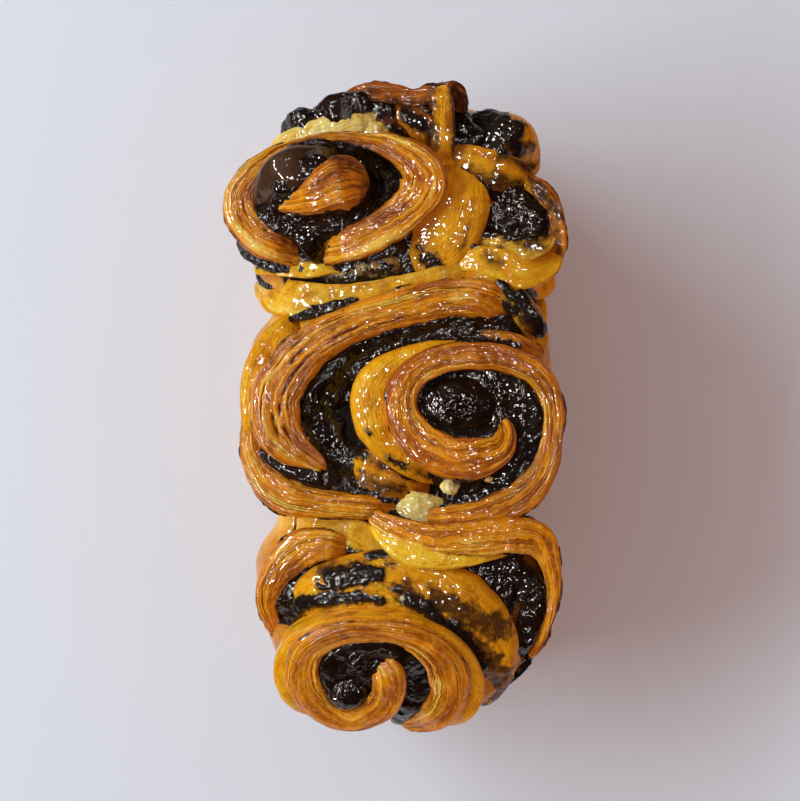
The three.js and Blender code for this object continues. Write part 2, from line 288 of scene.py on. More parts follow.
@dataclass(frozen=True)
class Strand:
    """A band of dough or a run of filling: a rounded section carried along a path.

    Each row is x, y, the height of the strand's crest and its half width, in mm. A fifth number leans the
    section, in degrees, which raises the side on the right of the way along.
    """

    SLIMMEST = 0.4           # least half width, in mm
    CAP_ROWS = 9             # rows of points in each rounded end
    UPPER_TURN = 1.75        # how far round from the crest the upper face reaches, in radians
    ROOT_POINTS = 16         # points round the root, which lies inside the loaf
    TIP = 0.35               # how much of the path's own slope tips the section
    UNEVEN = 0.09            # how much the width varies along the path, as a share
    ALONG_STEP = 1.6         # distance between rows of points, in gaps

    name: str
    surface: Surface
    rows: Rows
    crown: float = 0.48      # height of the rounded top, as a share of the half width
    square: float = 0.68     # power of the sine across: under 1 the sides are steeper
    flat: float = 0.6        # power of the cosine upwards: under 1 the top is flatter
    depth: float = 16.0      # how far the root goes down
    spacing: float = 1.25    # between the layers of a cut face
    relief: float = 0.3      # height of the layers' edges
    grooves: Rows = ()       # place across from -1 to 1, start and end along from 0 to 1, depth
    smears: tuple[Dab, ...] = ()
    scorch: tuple[Dab, ...] = ()
    lean: float = 0.0        # leans the whole strand towards -Y, in degrees
    sink: tuple[float, float] = (6.0, 6.0)   # how far each end dips under its neighbours, in mm
    fringe: float = 1.0      # how much chocolate clings to the edges of a cut face
    bake: float = 0.0        # above 0 it baked darker, below 0 it stayed paler

    def samples(self) -> Array:
        """Reads the strand's centre line for the bed of filling that lies between the strands.

        Returns:
            Rows of x, y, the bed's height there and how far that height counts, in mm.
        """
        curve, length = spline(self.rows)
        run = np.linspace(0, length[-1], max(int(length[-1] / 1.5), 3))
        x, y, z, width = (np.interp(run, length, curve[:, k]) for k in range(4))
        if self.surface in FILLINGS:
            return np.column_stack([x, y, z - 0.4, 0.7 * width + 1.2])
        return np.column_stack([x, y, z - self.crown * width - 1.5, 0.55 * width + 0.8])

    def build(self, gap: float) -> bpy.types.Object:
        """Makes the strand's piece.

        Args:
            gap: the distance between points on its upper face, in mm.

        Returns:
            The finished mesh object, with its masks.
        """
        grid, run, across, top, place = self.section_grid(gap)
        bulge = NOISE.layered(grid.points / 11.0, 2) * 0.55
        if self.surface in FILLINGS:
            self.shape_filling(grid, top, bulge)
        else:
            self.shape_dough(grid, run, across, top, place, bulge)
        return grid.to_object(self.name)

    def section_grid(self, gap: float) -> tuple[Grid, Array, Array, Array, Array]:
        """Carries the section along the path. Across, a point lies at the half width times a power of the
        sine of the turn round the section. Upwards it lies at the crown times a power of the cosine, and
        below, at the depth times the cosine. Both ends close as a quarter circle.

        Args:
            gap: the distance between points on the upper face, in mm.

        Returns:
            The grid, the length along and the distance across in mm, how far a point is on the upper face
            from 0 to 1, and its place across from -1 to 1.
        """
        curve, length = spline(self.rows)
        widths = np.maximum(curve[:, 3], self.SLIMMEST)
        start_cap, end_cap = (min(1.1 * w + 0.6, 0.4 * length[-1]) for w in (widths[0], widths[-1]))
        bend = np.linspace(0, math.pi / 2, self.CAP_ROWS)
        middle = np.arange(start_cap, length[-1] - end_cap, gap * self.ALONG_STEP)[1:]
        closing = length[-1] - end_cap * (1 - np.sin(bend))
        run = np.concatenate([start_cap * (1 - np.cos(bend)), middle, closing])
        ring = np.concatenate([np.sin(bend), np.ones(len(middle)), np.cos(bend)])
        row = np.column_stack([np.interp(run, length, curve[:, k]) for k in range(curve.shape[1])])
        centre, width = row[:, :3], np.maximum(row[:, 3], self.SLIMMEST)
        reach = 2.0 * width.mean() + 4
        centre[:, 2] -= self.sink[0] * (1 - smooth_step(0, reach, run))
        centre[:, 2] -= self.sink[1] * (1 - smooth_step(0, reach, length[-1] - run))
        along = np.stack([run / 7, run * 0, run * 0 + length[-1]], axis=-1)
        width = width * (1 + self.UNEVEN * NOISE.at(along))
        tangent = np.gradient(centre, axis=0)
        tangent[:, 2] *= self.TIP
        tangent /= np.linalg.norm(tangent, axis=1, keepdims=True)
        lean = math.radians(self.lean)
        lift = np.tile([0, -math.sin(lean), math.cos(lean)], (len(run), 1))
        side = np.cross(tangent, lift)
        side /= np.linalg.norm(side, axis=1, keepdims=True)
        bank = np.radians(row[:, 4:5] if row.shape[1] > 4 else np.zeros((len(run), 1)))
        side, lift = np.cos(bank) * side + np.sin(bank) * lift, np.cos(bank) * lift - np.sin(bank) * side
        crown = self.crown * width
        upper = int((math.pi * width.max() * 0.9 + 2) / gap)
        turn = np.concatenate([
            np.linspace(-self.UPPER_TURN, self.UPPER_TURN, upper),
            np.linspace(self.UPPER_TURN, TAU - self.UPPER_TURN, self.ROOT_POINTS)[1:-1]])
        sine, cosine = np.sin(turn), np.cos(turn)
        across = (width * ring)[:, None] * signed_power(sine, self.square)
        rise = np.where(cosine > 0, np.abs(cosine) ** self.flat, 0)[None] * (crown * ring)[:, None]
        root = np.where(cosine < 0, cosine, 0)[None] * (self.depth * ring)[:, None]
        across *= 1 + 0.25 * np.minimum(cosine, 0)
        base = centre - lift * crown[:, None]
        points = base[:, None] + side[:, None] * across[..., None] + lift[:, None] * (rise + root)[..., None]
        steps = np.linalg.norm(np.diff(points, axis=1), axis=-1)
        round_way = np.concatenate([np.zeros((len(run), 1)), np.cumsum(steps, axis=1)], axis=1)
        round_way -= round_way[:, upper // 2, None]
        round_way *= (width.mean() / width)[:, None] ** 0.6
        top = smooth_step(-0.25, 0.25, cosine)[None] * np.sqrt(ring)[:, None]
        place = across / np.maximum(width * ring, 0.2)[:, None]
        return Grid(points), np.broadcast_to(run[:, None], across.shape), round_way, top, place

    def shape_dough(self, grid: Grid, run: Array, across: Array, top: Array, place: Array,
                    bulge: Array) -> None:
        """Gives dough its relief. On a cut face each layer is a rounded ridge between two narrow creases,
        and the ridges wander with the noise. Rolled skin keeps only soft wrinkles.

        Args:
            grid: the strand's grid, which is changed.
            run: length along, in mm.
            across: distance across, in mm.
            top: how far a point is on the upper face.
            place: place across, from -1 to 1.
            bulge: the dough's soft unevenness, in mm.
        """
        seed = float(sum(map(ord, self.name)) % 97)
        # a slow noise drawn out along the dough, 16 mm by 6 mm, which makes the layers wander
        flow = np.stack([run / 16, across / 6, np.full_like(across, seed)], axis=-1)
        wander = NOISE.at(flow) * 0.7 + NOISE.at(flow * (3, 2, 1)) * 0.35 + NOISE.at(flow * (8, 2, 1)) * 0.14
        phase = across / self.spacing + wander
        phase = phase + 0.28 * np.sin(1.9 * phase + seed)
        ridge = np.abs(np.sin(math.pi * phase)) ** 0.5
        # how strongly each place shows its creases, what tone and height each layer has, and fine threads
        # creases are painted darker where this is high, partly their own colour and partly painted shade
        strength = np.clip(0.45 + 1.1 * NOISE.at(flow * (0.8, 1.5, 1) + 31), 0.0, 1)
        soft = {Surface.CUT: 1.0, Surface.TORN: 0.35}.get(self.surface, 0.1)
        tone = NOISE.at(np.stack([np.floor(phase) * 5.17, run / 14, np.full_like(run, seed)], axis=-1))
        terrace = NOISE.at(np.stack([phase * 0.31, run / 30, np.full_like(run, seed + 7)], axis=-1))
        fine = NOISE.layered(np.stack([run / 2.2, across / 0.9, np.full_like(run, seed)], axis=-1), 2)
        height = self.relief * soft * (1.6 * strength * (ridge - 0.7) + 0.9 * tone + 2.2 * terrace)
        height += 0.14 * fine * soft + 0.25 * NOISE.layered(grid.points / 3.2 + 3, 2)
        groove_shade_mask = np.zeros_like(across)
        for position, start, end, depth in self.grooves:
            drift = position + 0.07 * NOISE.at(flow * (2, 0, 1) + position * 9)
            distance = (place - drift) * np.abs(across).max() * 0.75
            total = run[-1, 0]
            fade = smooth_step(start - 0.04, start + 0.05, run / total)
            fade = fade * (1 - smooth_step(end - 0.05, end + 0.04, run / total))
            cut = np.exp(-((distance / 0.5) ** 2)) * fade
            height -= depth * cut
            # this mask paints the grooves dark brown, as painted shade
            groove_shade_mask = np.maximum(groove_shade_mask, cut * min(1.0, depth))
        # smears stand 0.75 mm proud, with crumbs on them, and chocolate clings to parts of a cut face's edge
        cocoa = mask_of_dabs(grid.points, self.smears)
        crumbs = NOISE.layered(grid.points / 1.5, 3)
        if self.surface is Surface.CUT:
            fringe = np.abs(place) + 0.05 * NOISE.layered(grid.points / 3.0 + 4, 3)
            clings = smooth_step(-0.1, 0.35, NOISE.at(grid.points / 8.0 + 6)) * self.fringe
            cocoa = np.maximum(cocoa, smooth_step(0.95, 0.99, fringe) * (0.35 + 0.4 * clings))
        spread = smooth_step(0.35, 0.95, cocoa)
        height = height * (1 - 0.8 * spread) + spread * (0.75 + 0.5 * crumbs)
        if self.surface is Surface.TORN:
            height += 0.5 * NOISE.layered(grid.points / 2.4, 3)
        grid.push((height + bulge) * top)
        grid.masks = {
            "layer": 0.5 - self.bake + 0.5 * tone * soft ** 0.5, "crease": strength * soft * top,
            "groove_shade": groove_shade_mask * top, "phase": phase, "cocoa": cocoa * top,
            "scorch": mask_of_dabs(grid.points, self.scorch, 0.9),
            "edge": smooth_step(0.72, 1.0, np.abs(place)) * top, "run": run, "across": across,
        }

    def shape_filling(self, grid: Grid, top: Array, bulge: Array) -> None:
        """Gives the filling its relief: smooth set pools where a slow noise is low, and crumbs where it is
        high, which are the folded size of a quicker noise.

        Args:
            grid: the strand's grid, which is changed.
            top: how far a point is on the upper face.
            bulge: soft unevenness, in mm.
        """
        points = grid.points
        # patches of crumbs 7 mm across, lumps of 3.6 mm and crumbs of 1.5 mm
        rough = smooth_step(-0.25, 0.3, NOISE.at(points / 7.0 + 5) + self.relief - 0.3)
        lumps = NOISE.layered(points / 3.6, 2)
        crumbs = 0.5 - np.abs(NOISE.layered(points / 1.5 + 9, 3))
        calm = 0.2 + 0.8 * smooth_step(-0.6, 0.2, np.array(self.relief))
        grid.push((bulge * 0.9 + calm * 0.5 * lumps + rough * (0.5 * lumps + 0.75 * crumbs)) * top)
        grid.masks = {"rough": rough * top, "bits": mask_of_dabs(points, self.smears, 1.2) * top}


@dataclass(frozen=True)
class Lump:
    """A crumb, blob or pool: an ellipsoid that noise has roughened.

    Its surface is the centre plus each radius times the unit sphere, with the noise added along the normal.
    """

    TONE = 0.6               # how pale a lump of dough is, from 0 to 1
    FEWEST = 24              # least number of points round a lump

    name: str
    surface: Surface
    centre: tuple[float, float, float]
    radii: tuple[float, float, float]
    rough: float = 0.5

    def build(self, gap: float) -> bpy.types.Object:
        """Makes the lump's piece.

        Args:
            gap: the distance between its points, in mm.

        Returns:
            The finished mesh object, with its masks.
        """
        count = max(self.FEWEST, int(TAU * max(self.radii) / gap))
        up = np.linspace(0, math.pi, count // 2)[:, None]
        turn = np.linspace(0, TAU, count, endpoint=False)[None]
        ball = np.stack([np.sin(up) * np.cos(turn), np.sin(up) * np.sin(turn),
                         np.cos(up) * np.ones_like(turn)], axis=-1)
        grid = Grid(np.array(self.centre) + ball * np.array(self.radii))
        points = grid.points
        # lumps of 3 mm with crumbs of 1.5 mm on them, none at the poles
        crumbs = 0.5 - np.abs(NOISE.layered(points / 1.5 + 9, 3))
        grid.push(self.rough * (NOISE.layered(points / 3.0, 3) + 0.8 * crumbs) * np.sin(up) ** 0.3)
        nothing = np.zeros(points.shape[:2])
        grid.masks = dict.fromkeys(("bits", "crease", "groove_shade", "cocoa", "scorch", "edge"), nothing)
        grid.masks |= {"rough": smooth_step(-0.3, 0.4, NOISE.at(points / 5.0) + self.rough - 0.4),
                       "layer": nothing + self.TONE, "run": points[..., 1], "across": points[..., 0],
                       "phase": points[..., 2]}
        return grid.to_object(self.name)


# ---------------------------------------------------------------------------------------------------------
# Finishes


def linear(colour: str) -> tuple[float, float, float, float]:
    """Turns an sRGB hex colour such as "d98c1f" into linear red, green and blue with full alpha."""
    parts = [int(colour[k:k + 2], 16) / 255 for k in (0, 2, 4)]
    return (*[p / 12.92 if p <= 0.04045 else ((p + 0.055) / 1.055) ** 2.4 for p in parts], 1.0)


def add_node(tree: bpy.types.NodeTree, kind: str, inputs: dict | None = None, **settings) -> bpy.types.Node:
    """Adds a node with its settings and links.

    Args:
        tree: the node tree.
        kind: the node's type name.
        inputs: what each input socket gets: a value, or another node's output socket. A Map Range node's
            sockets 1 to 4 are the lowest and highest value read and the lowest and highest value made.
        **settings: the node's own properties.

    Returns:
        The new node.
    """
    made = tree.nodes.new(kind)
    for key, value in settings.items():
        setattr(made, key, value)
    for key, value in (inputs or {}).items():
        if isinstance(value, bpy.types.NodeSocket):
            tree.links.new(value, made.inputs[key])
        else:
            made.inputs[key].default_value = value
    return made


MIX_A, MIX_B, MIX_COLOUR = 6, 7, 2       # sockets of a Mix node that mixes colours
ATTRIBUTE_VALUE = 2                      # an Attribute node's single value


class Finish:
    """A material made of nodes. Each kind of finish fills in its own tree."""

    name: str

    def start(self) -> tuple[bpy.types.Material, bpy.types.NodeTree, bpy.types.NodeSocket]:
        """Makes an empty material with an output.

        Returns:
            The material, its node tree and the output's surface socket.
        """
        material = bpy.data.materials.new(self.name)
        material.use_nodes = True
        tree = material.node_tree
        tree.nodes.clear()
        output = add_node(tree, "ShaderNodeOutputMaterial")
        return material, tree, output.inputs["Surface"]

    @staticmethod
    def sum(tree: bpy.types.NodeTree, total: bpy.types.NodeSocket,
            *parts: tuple[bpy.types.NodeSocket, float]) -> bpy.types.NodeSocket:
        """Adds a share of each other value to a value.

        Args:
            tree: the node tree.
            total: the value's socket.
            *parts: each other value's socket and its share.

        Returns:
            The sum's socket.
        """
        for value, share in parts:
            total = add_node(tree, "ShaderNodeMath", {0: value, 1: share, 2: total},
                             operation="MULTIPLY_ADD").outputs[0]
        return total

    @staticmethod
    def times(tree: bpy.types.NodeTree, value: bpy.types.NodeSocket, share: object) -> bpy.types.NodeSocket:
        """Multiplies two values and returns the socket."""
        return add_node(tree, "ShaderNodeMath", {0: value, 1: share}, operation="MULTIPLY").outputs[0]

    @staticmethod
    def mix(tree: bpy.types.NodeTree, share: bpy.types.NodeSocket, below: object,
            above: object) -> bpy.types.NodeSocket:
        """Lays one colour over another by a share.

        Args:
            tree: the node tree.
            share: how much of the upper colour shows.
            below: the lower colour, or the socket it comes from.
            above: the upper colour, or the socket it comes from.

        Returns:
            The mixed colour's socket.
        """
        mixed = add_node(tree, "ShaderNodeMix", {0: share, MIX_A: below, MIX_B: above}, data_type="RGBA")
        return mixed.outputs[MIX_COLOUR]


@dataclass(frozen=True)
class BakedDough(Finish):
    """Egg-washed brioche dough, baked and brushed with hot syrup.

    The eye sees amber crust with paler and darker layers, brown creases partly darkened as painted shade,
    and the syrup's small sharp lights, some of them painted pale into the colour.
    """

    name: str
    pale: str = "fcc246"
    main: str = "f09004"
    dark: str = "ac5202"
    # the creases' dark brown, partly their own colour and partly painted shade
    crease: str = "4a1c03"
    burnt: str = "33130b"
    chocolate: str = "090403"
    crumbs: str = "2e1a0d"
    # the colour of the leaves' crisp edges, which partly stands in as painted glints of syrup
    cream_and_glint: str = "ffd890"
    roughness: float = 0.42
    grain: float = 1.0
    mottle: float = 0.5
    # how strongly the crisp edges and their painted glints show
    lips_and_glints: float = 0.6
    film: float = 0.0003     # height of the syrup's drops, in metres

    def make(self) -> bpy.types.Material:
        """Builds the finish: layers pick a colour from dark through main to pale, then pale leaf edges that
        are partly painted glints, creases and grooves darkened partly as painted shade, scorched edges and
        smears of chocolate go over it. The syrup is the coat.

        Returns:
            The material.
        """
        material, tree, surface = self.start()
        value = {key: add_node(tree, "ShaderNodeAttribute", attribute_name=key).outputs[ATTRIBUTE_VALUE]
                 for key in ("layer", "crease", "groove_shade", "cocoa", "scorch", "edge", "run", "across",
                             "phase")}
        place = add_node(tree, "ShaderNodeTexCoord").outputs["Object"]
        # threads of dough 4 mm long and about 0.6 mm apart
        run = self.times(tree, value["run"], 1 / 4)
        across = self.times(tree, value["across"], 1 / 0.6)
        flow = add_node(tree, "ShaderNodeCombineXYZ", {0: run, 1: across})
        thread = add_node(tree, "ShaderNodeTexNoise", {"Vector": flow.outputs[0], "Scale": 1.0, "Detail": 3.0,
                                                       "Roughness": 0.6}).outputs["Fac"]
        # patches of deeper baking 9 mm across, mottling of 3 mm, the wobble of the layers over 2 mm, drops of
        # syrup 2.4 mm across and blisters under 1 mm
        patch, mottle, wobble, drops, blister = (
            add_node(tree, "ShaderNodeTexNoise", {"Vector": place, "Scale": 1 / size, "Detail": detail,
                                                  "Roughness": rough}).outputs["Fac"]
            for size, detail, rough in ((0.009, 4.0, 0.6), (0.0032, 3.0, 0.6), (0.0021, 2.0, 0.5),
                                        (0.0024, 1.0, 0.4), (0.0009, 2.0, 0.5)))
        # each layer keeps one tone of its own, and thinner leaves lie in it, a third as wide
        phase = self.sum(tree, value["phase"], (thread, 0.35), (wobble, 0.7))
        tone, gap = self.layers(tree, phase)
        leaf_tone, leaf_gap = self.layers(tree, self.times(tree, phase, 3.0))
        shade = self.sum(tree, value["layer"], (tone, 0.6 * self.grain), (leaf_tone, 0.16 * self.grain),
                         (thread, 0.24 * self.grain), (patch, 1.5), (mottle, self.mottle))
        middle = 0.5 + 0.5 * self.grain + 0.75 + 0.5 * self.mottle
        down = add_node(tree, "ShaderNodeMapRange", {0: shade, 1: middle - 0.55, 2: middle})
        up = add_node(tree, "ShaderNodeMapRange", {0: shade, 1: middle + 0.08, 2: middle + 0.6})
        colour = self.mix(tree, down.outputs[0], linear(self.dark), linear(self.main))
        colour = self.mix(tree, up.outputs[0], colour, linear(self.pale))
        # the crisp pale edges of the leaves, about 3 mm long and 0.45 mm wide, partly painted glints of the
        # syrup
        lip_run = self.times(tree, value["run"], 1 / 3.0)
        lip_across = self.times(tree, value["across"], 1 / 0.45)
        lip_flow = add_node(tree, "ShaderNodeCombineXYZ", {0: lip_run, 1: lip_across, 2: 7.0})
        lip = add_node(tree, "ShaderNodeTexNoise",
                       {"Vector": lip_flow.outputs[0], "Scale": 1.0, "Detail": 2.0, "Roughness": 0.6})
        lip = add_node(tree, "ShaderNodeMapRange", {0: lip.outputs["Fac"], 1: 0.56, 2: 0.78, 4: self.lips_and_glints})
        colour = self.mix(tree, lip.outputs[0], colour, linear(self.cream_and_glint))
        # fine dark lines between the thin leaves, partly their own colour and partly painted shade
        hair_and_shade = self.times(tree, self.times(tree, leaf_gap, 0.25 * self.grain), value["crease"])
        colour = self.mix(tree, hair_and_shade, colour, linear(self.dark))
        # seams between the layers and the grooves are painted dark brown: partly the dough's own colour,
        # partly painted shade
        seam_and_shade = self.times(tree, self.times(tree, gap, value["crease"]), 0.8)
        seam_and_shade = add_node(tree, "ShaderNodeMath", {0: seam_and_shade, 1: value["groove_shade"]}, operation="MAXIMUM")
        colour = self.mix(tree, seam_and_shade.outputs[0], colour, linear(self.crease))
        broken = add_node(tree, "ShaderNodeMapRange", {0: patch, 1: 0.35, 2: 0.62, 4: 0.75})
        edge = self.times(tree, value["edge"], broken.outputs[0])
        colour = self.mix(tree, edge, colour, linear(self.dark))
        scorch = self.sum(tree, value["scorch"], (mottle, 1.2), (thread, 0.6), (wobble, 0.6))
        scorch = add_node(tree, "ShaderNodeMapRange", {0: scorch, 1: 1.4, 2: 2.2, 4: 0.92}).outputs[0]
        colour = self.mix(tree, scorch, colour, linear(self.burnt))
        # loose crumbs of chocolate up to about a millimetre across, in patches
        speck = add_node(tree, "ShaderNodeTexVoronoi", {"Vector": place, "Scale": 1 / 0.0034})
        reach = add_node(tree, "ShaderNodeMapRange", {0: patch, 1: 0.48, 2: 0.68, 4: 0.32})
        away = self.sum(tree, speck.outputs["Distance"], (blister, 0.4))
        near = add_node(tree, "ShaderNodeMath", {0: away, 1: reach.outputs[0]}, operation="LESS_THAN")
        colour = self.mix(tree, near.outputs[0], colour, linear(self.burnt))
        # a smear browns the dough round it, and its own edge breaks up into crumbs
        cocoa = self.sum(tree, value["cocoa"], (wobble, 0.8), (mottle, 0.7), (blister, 0.5))
        stain = add_node(tree, "ShaderNodeMapRange", {0: cocoa, 1: 1.15, 2: 1.55, 4: 0.75}).outputs[0]
        colour = self.mix(tree, stain, colour, linear(self.burnt))
        cocoa = add_node(tree, "ShaderNodeMapRange", {0: cocoa, 1: 1.48, 2: 1.62}).outputs[0]
        filling = self.mix(tree, mottle, linear(self.chocolate), linear(self.crumbs))
        colour = self.mix(tree, cocoa, colour, filling)
        # the creases are drawn 0.4 mm deep and the threads up to 0.5 mm proud
        height = self.sum(tree, thread, (seam_and_shade.outputs[0], -0.8), (blister, 0.6), (hair_and_shade, -0.5))
        bump = add_node(tree, "ShaderNodeBump", {"Strength": 1.0, "Distance": 0.0005, "Height": height})
        # the syrup lies in drops, drawn out a little along the threads
        wet = self.sum(tree, drops, (thread, 0.12))
        film = add_node(tree, "ShaderNodeBump", {"Strength": 1.0, "Distance": self.film, "Height": wet})
        rough = add_node(tree, "ShaderNodeMapRange",
                         {0: patch, 1: 0.3, 2: 0.7, 3: self.roughness - 0.1, 4: self.roughness + 0.12})
        shader = add_node(tree, "ShaderNodeBsdfPrincipled",
                          {"Base Color": colour, "Roughness": rough.outputs[0], "IOR": 1.45,
                           "Specular IOR Level": 0.08, "Coat Weight": 0.75, "Coat Roughness": 0.04,
                           "Normal": bump.outputs[0], "Coat Normal": film.outputs[0]})
        tree.links.new(shader.outputs[0], surface)
        return material

    @staticmethod
    def layers(tree: bpy.types.NodeTree,
               phase: bpy.types.NodeSocket) -> tuple[bpy.types.NodeSocket, bpy.types.NodeSocket]:
        """Splits a running number into layers at its whole values.

        Args:
            tree: the node tree.
            phase: the running number.

        Returns:
            A random tone from 0 to 1 for each layer, and how close a place is to a seam, from 0 to 1.
        """
        whole = add_node(tree, "ShaderNodeMath", {0: phase}, operation="FLOOR")
        tone = add_node(tree, "ShaderNodeTexWhiteNoise", {"W": whole.outputs[0]}, noise_dimensions="1D")
        part = add_node(tree, "ShaderNodeMath", {0: phase, 1: 0.5}, operation="PINGPONG")
        gap = add_node(tree, "ShaderNodeMapRange", {0: part.outputs[0], 1: 0.0, 2: 0.14, 3: 1.0, 4: 0.0})
        return tone.outputs["Value"], gap.outputs[0]


@dataclass(frozen=True)
class BakedChocolate(Finish):
    """Dark chocolate and butter filling, melted, bubbled and set in the oven.

    The eye sees near-black brown, mirror lights on the set pools and many small sparks on the crumbs.
    """

    name: str
    body: str = "0a0402"
    warm: str = "2c170b"
    dough: str = "c8a050"
    roughness: float = 0.3
    pool_relief: float = 0.35

    def make(self) -> bpy.types.Material:
        """Builds the finish: body colour, warmer where it is crumbly, with bits of dough caught in it.

        Returns:
            The material.
        """
        material, tree, surface = self.start()
        rough, bits = (add_node(tree, "ShaderNodeAttribute", attribute_name=key).outputs[ATTRIBUTE_VALUE]
                       for key in ("rough", "bits"))
        place = add_node(tree, "ShaderNodeTexCoord").outputs["Object"]
        # crumbs 0.9 mm across on lumps of 3 mm, and blisters of 1.9 mm in the glaze
        crumb, lump, blister = (
            add_node(tree, "ShaderNodeTexNoise", {"Vector": place, "Scale": 1 / size, "Detail": detail,
                                                  "Roughness": coarse}).outputs["Fac"]
            for size, detail, coarse in ((0.0009, 3.0, 0.6), (0.003, 4.0, 0.65), (0.0019, 1.0, 0.5)))
        colour = self.mix(tree, lump, linear(self.body), linear(self.warm))
        fleck = add_node(tree, "ShaderNodeMapRange", {0: lump, 1: 0.44, 2: 0.54}).outputs[0]
        colour = self.mix(tree, self.times(tree, bits, fleck), colour, linear(self.dough))
        relief = self.sum(tree, self.times(tree, crumb, rough), (lump, 0.5))
        bump = add_node(tree, "ShaderNodeBump", {"Strength": 1.0, "Distance": 0.0005, "Height": relief})
        # the blisters are nearly gone where the filling set as a pool
        wet = add_node(tree, "ShaderNodeMapRange", {0: rough, 3: self.pool_relief, 4: 1.0})
        film = add_node(tree, "ShaderNodeBump", {"Strength": wet.outputs[0], "Distance": 0.0009,
                                                 "Height": blister})
        gloss = add_node(tree, "ShaderNodeMapRange",
                         {0: lump, 1: 0.3, 2: 0.7, 3: self.roughness - 0.1, 4: self.roughness + 0.15})
        shader = add_node(tree, "ShaderNodeBsdfPrincipled",
                          {"Base Color": colour, "Roughness": gloss.outputs[0], "IOR": 1.46,
                           "Specular IOR Level": 0.06, "Coat Weight": 1.0, "Coat Roughness": 0.035,
                           "Normal": bump.outputs[0], "Coat Normal": film.outputs[0]})
        tree.links.new(shader.outputs[0], surface)
        return material


@dataclass(frozen=True)
class PaintedTable(Finish):
    """Matt white table top with a faint cool cast, so the loaf's shadow reads soft and grey."""

    name: str = "table_matt_paint"
    light: str = "e6e4ec"
    shade: str = "e2e0e9"

    def make(self) -> bpy.types.Material:
        """Builds the finish: two near whites mixed by a broad noise.

        Returns:
            The material.
        """
        material, tree, surface = self.start()
        place = add_node(tree, "ShaderNodeTexCoord").outputs["Object"]
        cloud = add_node(tree, "ShaderNodeTexNoise", {"Vector": place, "Scale": 6.0, "Detail": 3.0})
        colour = self.mix(tree, cloud.outputs["Fac"], linear(self.light), linear(self.shade))
        shader = add_node(tree, "ShaderNodeBsdfPrincipled", {"Base Color": colour, "Roughness": 0.75})
        tree.links.new(shader.outputs[0], surface)
        return material


class Finishes:
    """Every finish of the loaf, made once."""

    def __init__(self) -> None:
        """Makes the materials."""
        self.by_surface = {
            Surface.CUT: BakedDough("brioche_crust_sliced_and_syrup_glazed").make(),
            Surface.ROLLED: BakedDough("brioche_skin_rolled_and_egg_washed", pale="ffc62c", main="ee9c06",
                                       dark="b05a02", cream_and_glint="ffd058", roughness=0.36, grain=0.3,
                                       mottle=1.3, lips_and_glints=0.35, film=0.0002).make(),
            Surface.PALE: BakedDough("brioche_skin_stretched_pale", pale="fbdf7c", main="f2ae20",
                                     dark="c87a06", crease="a0640c", roughness=0.4, grain=0.5,
                                     mottle=1.6, lips_and_glints=0.3, film=0.0002).make(),
            Surface.TIN: BakedDough("brioche_crust_browned_against_tin", pale="e9a83e", main="cc7f22",
                                    dark="a05a14", cream_and_glint="e8b458", roughness=0.5, grain=0.4,
                                    mottle=0.5, lips_and_glints=0.3, film=0.0001).make(),
            Surface.TORN: BakedDough("brioche_crumb_torn_open", pale="fbeab0", main="f2cf72",
                                     dark="d89a24", crease="9a6418", roughness=0.5, grain=0.6).make(),
            Surface.CHOCOLATE: BakedChocolate("chocolate_filling_baked_glossy").make(),
            # the set filling's lighter brown stands partly for a painted sheen
            Surface.SET: BakedChocolate("chocolate_filling_set_with_painted_sheen", body="2c180d", warm="5c3c26",
                                        pool_relief=0.12).make(),
        }

    def dress(self, piece: bpy.types.Object, surface: Surface) -> None:
        """Gives a piece its material and its place on the loaf.

        Args:
            piece: the mesh object.
            surface: what it is made of.
        """
        piece.data.materials.append(self.by_surface[surface])
        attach(piece, "root")
        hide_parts(LOAF_NODE)


# ---------------------------------------------------------------------------------------------------------
# The loaf


@dataclass
class Roll:
    """A part of the loaf that is a set of strands and lumps."""

    strands: tuple[Strand, ...] = ()
    lumps: tuple[Lump, ...] = ()

    def build(self, finishes: Finishes, gap: float) -> None:
        """Builds and dresses each strand and lump in order.

        Args:
            finishes: the loaf's finishes.
            gap: the distance between points, in mm.
        """
        for part in (*self.strands, *self.lumps):
            piece = part.build(gap)
            finishes.dress(piece, part.surface)
            log.info("%s: %d faces", part.name, len(piece.data.polygons))


CUT, ROLLED, PALE, TIN, TORN, CHOCOLATE, SET = Surface


